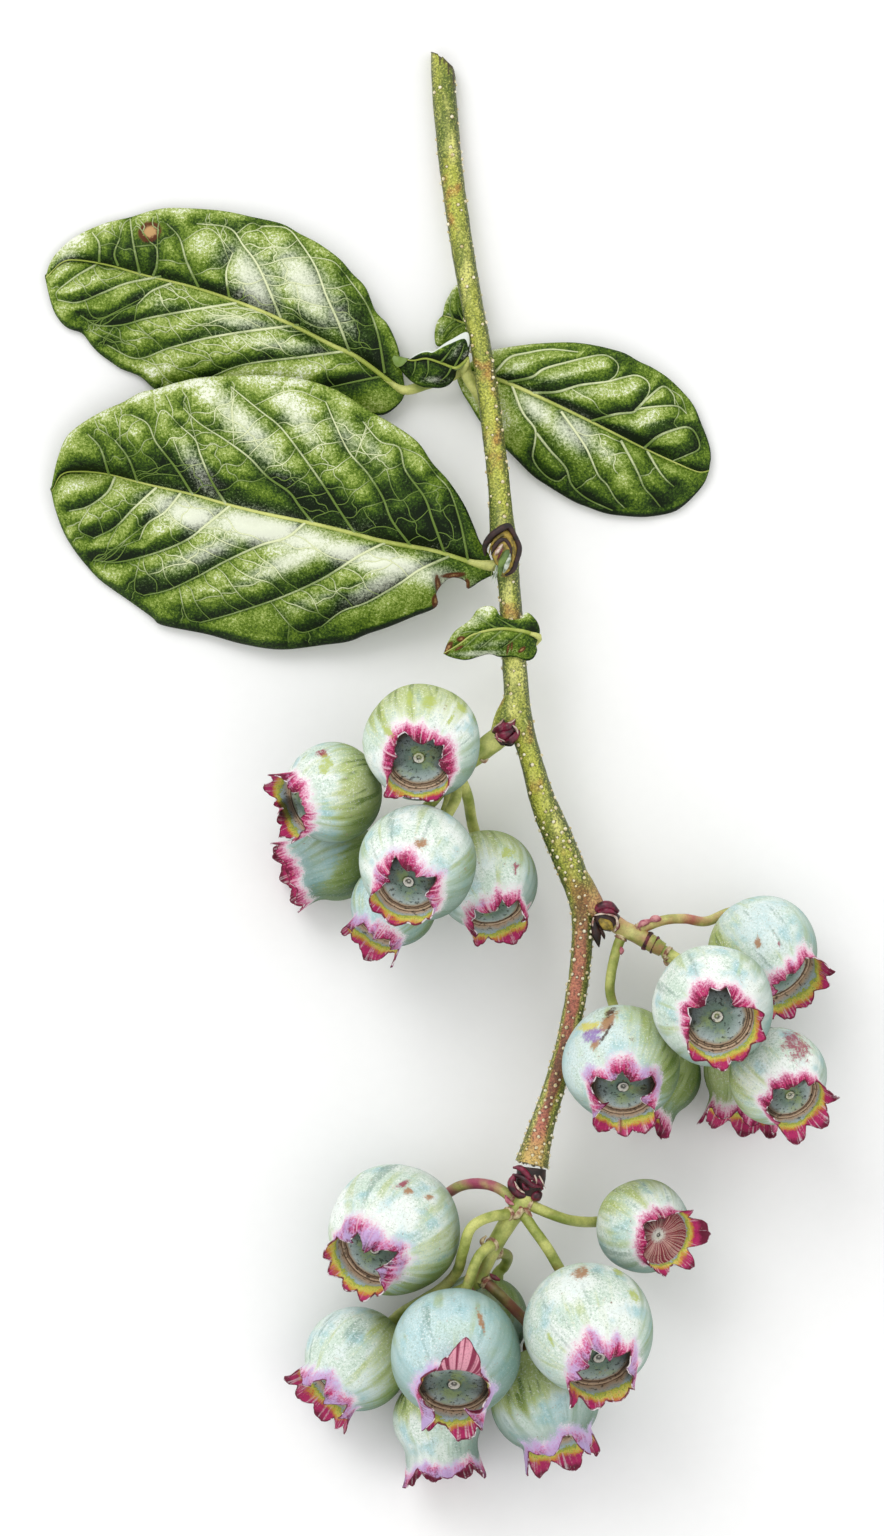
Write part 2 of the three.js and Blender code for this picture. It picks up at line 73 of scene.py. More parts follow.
def pointsOf(mesh):  # in mm
    co = np.empty(len(mesh.vertices) * 3, np.float32)
    mesh.vertices.foreach_get("co", co)
    return co.reshape(-1, 3) / mm


def searchTree(points):  # finds the nearest of the points; flat ones lie at height 0
    tree = kdtree.KDTree(len(points))
    for k, point in enumerate(points.tolist()):
        tree.insert((point + [0.0])[:3], k)
    tree.balance()
    return tree


def newObject(name, verts, faces, layers=None, material=None):
    mesh = bpy.data.meshes.new(name)
    mesh.from_pydata([tuple(v) for v in verts], [], faces)
    addValues(mesh, layers or {})
    mesh.shade_smooth()
    mesh.update()
    piece = bpy.data.objects.new(name, mesh)
    scene.collection.objects.link(piece)
    if material:
        mesh.materials.append(material)
    return piece


def chainObject(name, points, layers):  # a chain of points joined by edges
    piece = newObject(name, points, [])
    count = len(points) - 1
    piece.data.edges.add(count)
    piece.data.edges.foreach_set("vertices", np.array([(k, k + 1) for k in range(count)]).ravel())
    addValues(piece.data, layers)
    return piece


def joinPieces(name, parts):  # several meshes into one object, each keeping its own material
    for other in bpy.context.selected_objects:
        other.select_set(False)
    for part in parts:
        part.select_set(True)
    bpy.context.view_layer.objects.active = parts[0]
    bpy.ops.object.join()
    parts[0].name = name
    parts[0].data.name = name
    return parts[0]


def handOver(piece, node):  # the piece stands for its CAD node
    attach(piece, "root")
    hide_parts(node)


def newTree(name, inputs):
    tree = bpy.data.node_groups.new(name, "GeometryNodeTree")
    tree.interface.new_socket("Geometry", in_out="INPUT", socket_type="NodeSocketGeometry")
    tree.interface.new_socket("Geometry", in_out="OUTPUT", socket_type="NodeSocketGeometry")
    for label, kind, value in inputs:
        socket = tree.interface.new_socket(label, in_out="INPUT", socket_type="NodeSocket" + kind)
        if value is not None:
            socket.default_value = value
    return tree, tree.nodes.new("NodeGroupInput").outputs


def addNode(tree, kind, values=None, **settings):  # a node given as a value stands for its first output
    node = tree.nodes.new(kind)
    for key, value in settings.items():
        setattr(node, key, value)
    for key, value in (values or {}).items():
        if isinstance(value, bpy.types.Node):
            value = value.outputs[0]
        if isinstance(value, bpy.types.NodeSocket):
            tree.links.new(value, node.inputs[key])
        else:
            node.inputs[key].default_value = value
    return node


def finishTree(tree, geometry, material):
    shaded = addNode(tree, "GeometryNodeSetShadeSmooth", {"Geometry": geometry})
    real = addNode(tree, "GeometryNodeRealizeInstances", {"Geometry": shaded})
    done = addNode(tree, "GeometryNodeSetMaterial", {"Geometry": real, "Material": material})
    tree.links.new(done.outputs[0], tree.nodes.new("NodeGroupOutput").inputs[0])
    return tree


def runTree(piece, tree, values):  # the tree's result as a plain mesh in the same object
    modifier = piece.modifiers.new("build", "NODES")
    modifier.node_group = tree
    for item in tree.interface.items_tree:
        if item.item_type == "SOCKET" and item.in_out == "INPUT" and item.name in values:
            modifier[item.identifier] = values[item.name]
    graph = bpy.context.evaluated_depsgraph_get()
    graph.update()
    made = bpy.data.meshes.new_from_object(piece.evaluated_get(graph), depsgraph=graph)
    piece.modifiers.remove(modifier)
    piece.data = made
    return piece


def stalkTree():  # a path of points with a radius each, into a round stalk with a slightly uneven skin
    tree, enter = newTree("stalk", [("Sides", "Int", 20), ("Unevenness", "Float", 0.05 * mm),
                                    ("Grain", "Float", 900.0), ("Material", "Material", None)])

    def node(kind, values=None, **settings):
        return addNode(tree, kind, values, **settings)

    curve = node("GeometryNodeMeshToCurve", {"Mesh": enter["Geometry"]})
    ring = node("GeometryNodeCurvePrimitiveCircle", {"Resolution": enter["Sides"], "Radius": 1.0})
    radius = node("GeometryNodeInputNamedAttribute", {"Name": "radius"}, data_type="FLOAT")
    tube = node("GeometryNodeCurveToMesh", {"Curve": curve, "Profile Curve": ring, "Scale": radius,
                                            "Fill Caps": True})
    lumps = node("ShaderNodeTexNoise", {"Scale": enter["Grain"], "Detail": 2.0}, noise_dimensions="3D")
    centred = node("ShaderNodeMath", {0: lumps, 1: 0.5}, operation="SUBTRACT")
    amount = node("ShaderNodeMath", {0: centred, 1: enter["Unevenness"]}, operation="MULTIPLY")
    normal = node("GeometryNodeInputNormal")
    push = node("ShaderNodeVectorMath", {0: normal, "Scale": amount}, operation="SCALE")
    moved = node("GeometryNodeSetPosition", {"Geometry": tube, "Offset": push})
    return finishTree(tree, moved, enter["Material"])


def beadTree():  # small round beads scattered over a surface where its bead amount is high
    tree, enter = newTree("beads", [
        ("Density", "Float", 1e6), ("Spacing", "Float", 0.5 * mm), ("Smallest", "Float", 0.12 * mm),
        ("Largest", "Float", 0.24 * mm), ("Seed", "Int", 5), ("Material", "Material", None)])
    amount = addNode(tree, "GeometryNodeInputNamedAttribute", {"Name": "beads"}, data_type="FLOAT")
    points = addNode(tree, "GeometryNodeDistributePointsOnFaces", {
        "Mesh": enter["Geometry"], "Distance Min": enter["Spacing"], "Density Max": enter["Density"],
        "Density Factor": amount, "Seed": enter["Seed"]}, distribute_method="POISSON")
    bead = addNode(tree, "GeometryNodeMeshUVSphere", {"Segments": 8, "Rings": 5, "Radius": 1.0})
    size = addNode(tree, "FunctionNodeRandomValue", {2: enter["Smallest"], 3: enter["Largest"], "Seed": 11},
                   data_type="FLOAT")
    placed = addNode(tree, "GeometryNodeInstanceOnPoints", {
        "Points": points, "Instance": bead, "Rotation": points.outputs["Rotation"],
        "Scale": size.outputs[1]})
    return finishTree(tree, placed, enter["Material"])


def rgb(red, green, blue):  # a colour as the eye names it, from 0 to 255, into the shader's linear values
    def linear(c):
        c /= 255.0
        return c / 12.92 if c <= 0.04045 else ((c + 0.055) / 1.055) ** 2.4
    return (linear(red), linear(green), linear(blue), 1.0)


class Paint:  # a material under construction, whose colours go by their names in its look
    def __init__(self, name, look=None, roughness=0.5, specular=0.5, grain=(4600.0, 2.0, 0.8)):
        self.material = bpy.data.materials.new(name)
        self.material.use_nodes = True
        self.tree = self.material.node_tree
        self.look = look
        self.shader = self.tree.nodes["Principled BSDF"]
        self.shader.inputs["Roughness"].default_value = roughness
        self.shader.inputs["Specular IOR Level"].default_value = specular
        self.place = self.tree.nodes.new("ShaderNodeTexCoord").outputs["Object"]
        self.grain = self.noise(*grain)  # the finest texture of the surface

    def node(self, kind, values=None, **settings):
        return addNode(self.tree, kind, values, **settings)

    def attribute(self, name, out="Fac"):
        return self.node("ShaderNodeAttribute", attribute_name=name).outputs[out]

    def noise(self, scale, detail=3.0, roughness=0.55, distortion=0.0, vector=None):
        return self.node("ShaderNodeTexNoise", {
            "Vector": vector or self.place, "Scale": scale, "Detail": detail, "Roughness": roughness,
            "Distortion": distortion}).outputs["Fac"]

    def fade(self, value, low, high, toLow=0.0, toHigh=1.0):
        return self.node("ShaderNodeMapRange", {
            "Value": value, "From Min": low, "From Max": high, "To Min": toLow, "To Max": toHigh},
            interpolation_type="SMOOTHSTEP").outputs["Result"]

    def math(self, operation, a, b):
        return self.node("ShaderNodeMath", {0: a, 1: b}, operation=operation).outputs[0]

    def plus(self, a, b):
        return self.math("ADD", a, b)

    def times(self, a, b):
        return self.math("MULTIPLY", a, b)

    def noisy(self, value, texture, amount):  # the value moved up and down by a texture
        return self.plus(value, self.times(self.math("SUBTRACT", texture, 0.5), amount))

    def grainy(self, value, amount):
        return self.noisy(value, self.grain, amount)

    def colour(self, tint):
        tint = self.look[tint] if isinstance(tint, str) else tint
        return rgb(*tint) if isinstance(tint, tuple) and len(tint) == 3 else tint

    def mix(self, amount, a, b):
        return self.node("ShaderNodeMix", {0: amount, 6: self.colour(a), 7: self.colour(b)},
                         data_type="RGBA").outputs[2]

    def over(self, colour, tint, value, low, high, most=1.0):  # the tint comes in from low to high
        return self.mix(self.fade(value, low, high, 0.0, most), colour, tint)

    def ramp(self, value, stops):
        ramp = self.node("ShaderNodeValToRGB", {0: value})
        elements = ramp.color_ramp.elements
        while len(elements) < len(stops):
            elements.new(0.5)
        for element, (position, tint) in zip(elements, stops):
            element.position = position
            element.color = self.colour(tint)
        return ramp.outputs[0]

    def finish(self, colour, bump, height, strength):  # the bump's height is in mm
        self.tree.links.new(colour, self.shader.inputs["Base Color"])
        node = self.node("ShaderNodeBump", {"Height": bump, "Distance": height * mm, "Strength": strength})
        self.tree.links.new(node.outputs[0], self.shader.inputs["Normal"])
        return self.material


# the camera looks straight down on the sprig from far off, so there is hardly any perspective
view = {"lens": 300, "sensor": 36, "tall": 168.96, "centre": (0.33, 0.0, 10.0)}
print("camera, light and floor")
cameraData = bpy.data.cameras.new("camera")
cameraData.lens = view["lens"]
cameraData.sensor_width = view["sensor"]
cameraData.clip_end = 20.0
camera = bpy.data.objects.new("camera", cameraData)
reach = view["tall"] * view["lens"] / view["sensor"]
camera.location = (view["centre"][0] * mm, view["centre"][1] * mm, (view["centre"][2] + reach) * mm)
scene.collection.objects.link(camera)
scene.camera = camera
scene.view_settings.view_transform = "Standard"
scene.view_settings.look = "None"

studio = {"sky": 0.92, "key": 6.2, "keySize": 0.8, "keyFrom": (-0.50, 0.80, 1.05),
          "fill": 2.0, "fillSize": 1.2, "fillFrom": (0.9, -0.4, 1.2)}
world = bpy.data.worlds.new("studio")
world.use_nodes = True
scene.world = world
background = world.node_tree.nodes["Background"]
background.inputs["Color"].default_value = (1.0, 1.0, 1.0, 1.0)
background.inputs["Strength"].default_value = studio["sky"]
for name in ("key", "fill"):
    lamp = bpy.data.lights.new(name, "AREA")
    lamp.energy = studio[name]
    lamp.size = studio[name + "Size"]
    light = bpy.data.objects.new(name, lamp)
    light.location = studio[name + "From"]
    light.rotation_euler = (-light.location).to_track_quat("-Z", "Y").to_euler()
    scene.collection.objects.link(light)

floorLook = {"dark": (0.93, 0.93, 0.925, 1.0), "light": (0.955, 0.955, 0.95, 1.0), "halfWidth": 6.0}
paper = Paint("paper", floorLook, roughness=0.9, specular=0.1, grain=(700.0, 4.0, 0.55))
floorMaterial = paper.finish(paper.mix(paper.grain, "dark", "light"), paper.grain, 0.02, 0.2)
corners = [(x * floorLook["halfWidth"], y * floorLook["halfWidth"], 0)
           for x, y in ((-1, -1), (1, -1), (1, 1), (-1, 1))]
newObject("floor", corners, [(0, 1, 2, 3)], material=floorMaterial)


# bark and stalk materials
barkLook = {"green": (182, 186, 66), "pale": (230, 228, 132), "olive": (98, 116, 24),
            "rust": (176, 108, 48), "red": (106, 20, 42), "plum": (188, 92, 88), "tip": (220, 190, 104),
            "dark": (56, 40, 18), "edge": (62, 76, 16), "redEdge": (88, 96, 26), "redFrom": -4.0,
            "redTo": -25.0, "tipFrom": -39.0, "tipTo": -43.5}
darkest = (0.02, 0.04, 0.01, 1.0)


def barkMaterial(look):
    paint = Paint("bark", look, grain=(4200.0, 2.0, 0.8))
    over, times, grainy = paint.over, paint.times, paint.grainy
    streaky = paint.node("ShaderNodeMapping", {"Vector": paint.place, "Scale": (1.0, 0.3, 1.0)})
    patches = paint.noise(420.0, 4.0, vector=streaky)
    height = paint.node("ShaderNodeSeparateXYZ", {0: paint.place}).outputs[1]
    flank = paint.attribute("flank")
    colour = over("olive", "green", paint.noise(260.0, vector=streaky), 0.36, 0.64)
    colour = over(colour, "pale", patches, 0.50, 0.74)
    low = paint.fade(height, look["redFrom"] * mm, look["redTo"] * mm)
    rust = paint.fade(paint.noise(190.0, distortion=0.4), 0.53, 0.66)
    colour = paint.mix(times(rust, paint.fade(low, 0.0, 1.0, 0.75, 0.1)), colour, "rust")
    core = paint.math("SUBTRACT", paint.noise(190.0, 4.0, vector=streaky), times(flank, 0.32))
    redness = times(low, paint.fade(core, 0.24, 0.40))
    colour = paint.mix(times(redness, 0.9), colour, over("red", "plum", patches, 0.4, 0.6))
    end = paint.fade(height, look["tipFrom"] * mm, look["tipTo"] * mm)
    colour = paint.mix(times(end, 0.8), colour, "tip")
    # painted shade: darker olive down both sides of the stem, heaviest down the right-hand side away from
    # the light
    colour = over(colour, paint.mix(low, "edge", "redEdge"), grainy(flank, 0.8), 0.22, 0.92, 0.92)
    colour = over(colour, paint.mix(0.75, colour, darkest), paint.grain, 0.46, 0.64, 0.85)
    speckle = paint.fade(paint.grain, 0.46, 0.30, 0.0, 0.65)
    colour = paint.mix(times(speckle, paint.fade(redness, 0.0, 1.0, 1.0, 0.35)), colour, "pale")
    colour = over(colour, "dark", grainy(paint.attribute("mark"), 0.5), 0.25, 0.75, 0.85)
    return paint.finish(colour, paint.plus(paint.grain, times(patches, 2.0)), 0.06, 0.6)


def stalkMaterial(name, base, shade, blush, blushAmount):
    paint = Paint(name, roughness=0.48)
    colour = paint.over(shade, base, paint.noise(330.0), 0.35, 0.65)
    warm = paint.fade(paint.noise(210.0), 0.62 - 0.3 * blushAmount, 0.80 - 0.2 * blushAmount)
    colour = paint.mix(paint.times(warm, min(1.0, 0.5 + blushAmount)), colour, blush)
    colour = paint.over(colour, paint.mix(0.6, colour, darkest), paint.grain, 0.35, 0.75, 0.4)
    return paint.finish(colour, paint.grain, 0.03, 0.5)


def plainMaterial(name, light, dark, scale, roughness=0.5):
    paint = Paint(name, roughness=roughness)
    patches = paint.noise(scale, 4.0)
    colour = paint.over(dark, light, patches, 0.36, 0.64)
    colour = paint.over(colour, paint.mix(0.7, colour, dark), paint.grain, 0.35, 0.75, 0.35)
    return paint.finish(colour, paint.plus(patches, paint.grain), 0.04, 0.6)


print("stems")
bark = barkMaterial(barkLook)
wartMaterial = plainMaterial("warts", (244, 240, 214), (200, 178, 120), 2200.0, 0.45)
stalkSkins = {  # base, shade, blush and how much blush
    "green": ((206, 208, 120), (136, 150, 62), (186, 110, 100), 0.2),
    "red": ((196, 198, 112), (130, 140, 60), (168, 70, 100), 0.85),
    "blush": ((206, 204, 124), (140, 148, 64), (186, 98, 92), 0.6),
    "dark": ((150, 138, 76), (90, 84, 36), (116, 58, 48), 0.7),
}
stalkSkin = {key: stalkMaterial("stalk_" + key, *colours) for key, colours in stalkSkins.items()}
bractSkin = {
    "dark": plainMaterial("bract_dark", (118, 44, 58), (52, 26, 24), 1300.0),
    "blush": plainMaterial("bract_blush", (214, 150, 150), (150, 56, 84), 1500.0),
    "collar": plainMaterial("collar", (214, 200, 158), (132, 78, 60), 1500.0),
}
tubeTree = stalkTree()
wartTree = beadTree()


def makeStalk(name, path, material, sides=20, step=0.45, unevenness=0.05, grain=900.0):
    length = arcLengths(np.array(path, float))[-1]  # straight from point to point
    line = smoothPath(path, max(6, int(length / step)))
    piece = chainObject(name, line[:, :3] * mm, {"radius": line[:, 3] * mm})
    return runTree(piece, tubeTree, {"Sides": sides, "Unevenness": unevenness * mm, "Grain": grain,
                                     "Material": material})


mainStem = {
    "cutReach": 2.0,
    "path": [(0.4, 78.4, 1.45, 1.32), (0.7, 72.9, 1.7, 1.32), (1.4, 65.8, 2.1, 1.27),
        (2.4, 58.6, 2.7, 1.25), (3.6, 51.5, 3.6, 1.2), (4.7, 46.0, 4.5, 1.15), (5.6, 39.9, 5.4, 1.2),
        (6.5, 32.2, 6.6, 1.2), (6.9, 27.3, 7.3, 1.35), (7.2, 24.3, 7.6, 1.55), (7.7, 20.5, 8.0, 1.22),
        (8.2, 13.0, 8.7, 1.32), (8.8, 5.8, 9.3, 1.4), (10.0, 1.4, 9.6, 1.22), (11.4, -3.5, 9.7, 1.42),
        (13.3, -8.1, 9.7, 1.6), (15.3, -13.2, 9.7, 1.5), (15.8, -16.7, 9.6, 1.2), (15.6, -21.1, 9.5, 1.15),
        (15.0, -25.5, 9.4, 1.15), (14.0, -30.5, 9.4, 1.18), (12.6, -35.4, 9.6, 1.2),
        (11.2, -39.8, 9.9, 1.4), (10.2, -43.6, 10.1, 1.85)],
    "cut": [(-1.1, 79.5), (-0.05, 78.9), (0.1, 78.2), (0.3, 78.7), (0.95, 78.0), (1.1, 77.4), (1.25, 77.7),
        (1.55, 77.5), (1.65, 76.9), (1.8, 77.2), (2.2, 76.9)],
    "slits": [(0.08, 78.8, 77.6), (0.55, 78.3, 77.8), (1.05, 77.8, 76.6), (1.62, 77.3, 75.7)],
    "forks": [
        [(8.9, 9.2, 9.2, 0.9), (8.1, 6.8, 9.4, 1.35), (7.2, 4.9, 9.5, 1.3), (6.4, 3.4, 9.6, 0.9)],
        [(13.9, -9.6, 9.6, 1.0), (15.4, -12.6, 9.7, 1.45), (17.0, -15.2, 9.8, 1.25),
         (18.2, -16.4, 9.9, 0.8)]],
    "warts": {"few": 0.34, "many": 1.4, "from": 4.0, "to": -16.0, "end": 76.0, "density": 2000000.0,
        "spacing": 0.62, "smallest": 0.13, "largest": 0.23, "seed": 7, "halo": 0.2, "haloDark": 0.65},
}


def makeMainStem(spec):
    stem = makeStalk("main_stem", spec["path"], bark, sides=48, step=0.27, unevenness=0.16, grain=700.0)
    mesh = stem.data
    co = pointsOf(mesh)
    path = np.array(spec["path"])
    top = path[0]
    cut = np.interp(co[:, 0], *zip(*spec["cut"]))
    # the torn end follows the cut line
    co[:, 1] += (cut - top[1]) * np.clip(1.0 - (top[1] - co[:, 1]) / spec["cutReach"], 0.0, 1.0)
    mark = smooth((co[:, 1] - cut + 0.35) / 0.3) * 0.9
    for x, high, low in spec["slits"]:
        inside = (co[:, 1] < high) & (co[:, 1] > low) & (co[:, 2] > top[2])
        mark = np.maximum(mark, inside * np.clip(1.3 - np.abs(co[:, 0] - x) / 0.12, 0, 1))
    mesh.vertices.foreach_set("co", (co * mm).ravel())
    form = spec["warts"]
    warts = newObject("stem_warts", [], [])
    warts.data = mesh.copy()
    low = smooth((co[:, 1] - form["from"]) / (form["to"] - form["from"]))
    amount = form["few"] + (form["many"] - form["few"]) * low
    amount[co[:, 1] > form["end"]] = 0.0
    addValues(warts.data, {"beads": amount})
    runTree(warts, wartTree, {"Density": form["density"], "Spacing": form["spacing"] * mm,
                              "Smallest": form["smallest"] * mm, "Largest": form["largest"] * mm,
                              "Seed": form["seed"], "Material": wartMaterial})
    halo = searchTree(pointsOf(warts.data))  # painted contact shade: a dark ring of bark round every wart
    near = np.array([halo.find(p)[2] for p in co.tolist()])
    mark = np.maximum(mark, form["haloDark"] * np.clip(1.3 - near / form["halo"], 0, 1))
    centre, wide = (np.interp(-co[:, 1], -path[:, 1], path[:, k]) for k in (0, 3))
    # the flank places painted shade down both sides of the stem, heaviest on the right-hand side, and keeps
    # the red core in the middle
    flank = np.clip((co[:, 0] - centre) / wide, -1, 1)  # 1 along the right-hand side
    addValues(mesh, {"mark": mark, "flank": np.where(flank > 0, flank, 0.85 * np.abs(flank) ** 1.6)})
    forks = [makeStalk("stem_fork%d" % k, fork, bark, sides=28, step=0.24, unevenness=0.12, grain=700.0)
             for k, fork in enumerate(spec["forks"])]
    return joinPieces("main_stem", [stem, warts] + forks)


handOver(makeMainStem(mainStem), "main_stem")

sideShoot = [(5.9, 38.6, 3.6, 0.8), (5.6, 39.2, 2.9, 0.78), (4.4, 41.4, 3.0, 0.72), (3.1, 43.4, 3.2, 0.68),
             (2.7, 45.3, 3.5, 0.55)]
handOver(makeStalk("side_shoot", sideShoot, stalkSkin["green"]), "side_shoot")

# the stalk of each cluster, and the joints, collars and bracts that sit on it
rachises = {
    "rachis_upper": {
        "skin": "green",
        "path": [(9.6, 5.2, 9.6, 1.05), (7.6, 4.1, 9.6, 1.15), (5.9, 2.85, 9.6, 1.2), (4.4, 1.7, 9.7, 1.15),
            (2.6, 0.2, 9.8, 1.0), (1.1, -1.5, 9.8, 0.8)],
        "bracts": [
            ("blush", [(6.9, 2.9, 10.7, 0.1), (6.5, 3.3, 10.95, 0.26), (6.3, 3.9, 10.9, 0.1)]),
            ("collar", [(4.6, 0.9, 10.7, 0.1), (5.0, 0.7, 10.8, 0.2), (5.4, 1.0, 10.8, 0.1)])]},
    "rachis_right": {
        "skin": "blush",
        "path": [(16.2, -14.6, 9.7, 0.95), (18.2, -16.2, 9.9, 0.95), (20.1, -17.6, 10.0, 0.95),
            (21.6, -18.3, 10.3, 0.93), (23.4, -19.3, 10.6, 0.95), (24.6, -20.0, 10.7, 0.8)],
        "bracts": [
            ("dark", [(22.6, -18.85, 10.5, 0.92), (22.8, -18.95, 10.5, 1.12), (23.0, -19.1, 10.55, 1.1),
             (23.2, -19.2, 10.6, 0.9)]),
            ("dark", [(23.5, -19.35, 10.6, 0.9), (23.7, -19.45, 10.6, 1.08), (23.9, -19.55, 10.65, 0.9)]),
            ("blush", [(21.9, -17.5, 10.9, 0.12), (22.3, -17.1, 11.1, 0.36), (22.9, -16.9, 11.0, 0.3),
             (23.4, -16.7, 10.8, 0.1)]),
            ("blush", [(23.1, -16.9, 10.8, 0.1), (23.6, -16.6, 11.1, 0.4), (24.1, -16.6, 11.0, 0.36),
             (24.4, -16.8, 10.7, 0.1)]),
            ("blush", [(20.0, -19.7, 10.7, 0.1), (20.1, -20.1, 10.9, 0.28), (20.0, -20.5, 10.7, 0.1)])]},
    "rachis_lower": {
        "skin": "green",
        "path": [(10.0, -45.8, 10.2, 1.05), (9.2, -47.7, 10.3, 1.05), (7.4, -50.3, 10.3, 1.0),
            (5.8, -53.1, 10.3, 0.9), (4.3, -56.6, 10.3, 0.7)],
        "bracts": [
            ("collar", [(8.9, -48.1, 11.1, 0.1), (9.0, -48.6, 11.5, 0.32), (8.6, -49.2, 11.5, 0.34),
             (8.1, -49.6, 11.2, 0.1)]),
            ("collar", [(9.3, -48.3, 11.1, 0.1), (9.7, -48.7, 11.4, 0.28), (10.2, -49.3, 11.4, 0.1)]),
            ("blush", [(7.3, -47.0, 10.9, 0.1), (7.6, -47.6, 11.2, 0.3), (8.2, -48.0, 11.2, 0.1)]),
            ("collar", [(4.9, -52.6, 11.0, 0.1), (4.7, -52.0, 11.3, 0.26), (5.2, -51.4, 11.3, 0.1)]),
            ("dark", [(5.6, -55.6, 10.9, 0.1), (6.1, -56.0, 11.2, 0.3), (6.7, -56.3, 11.1, 0.1)])]},
}
for name, spec in rachises.items():
    parts = [makeStalk(name, spec["path"], stalkSkin[spec["skin"]], sides=28, step=0.3, unevenness=0.14)]
    for k, (skin, route) in enumerate(spec["bracts"]):
        parts.append(makeStalk("%s_bract%d" % (name, k), route, bractSkin[skin], sides=14, step=0.1,
                               unevenness=0.08))
    handOver(joinPieces(name, parts), name)


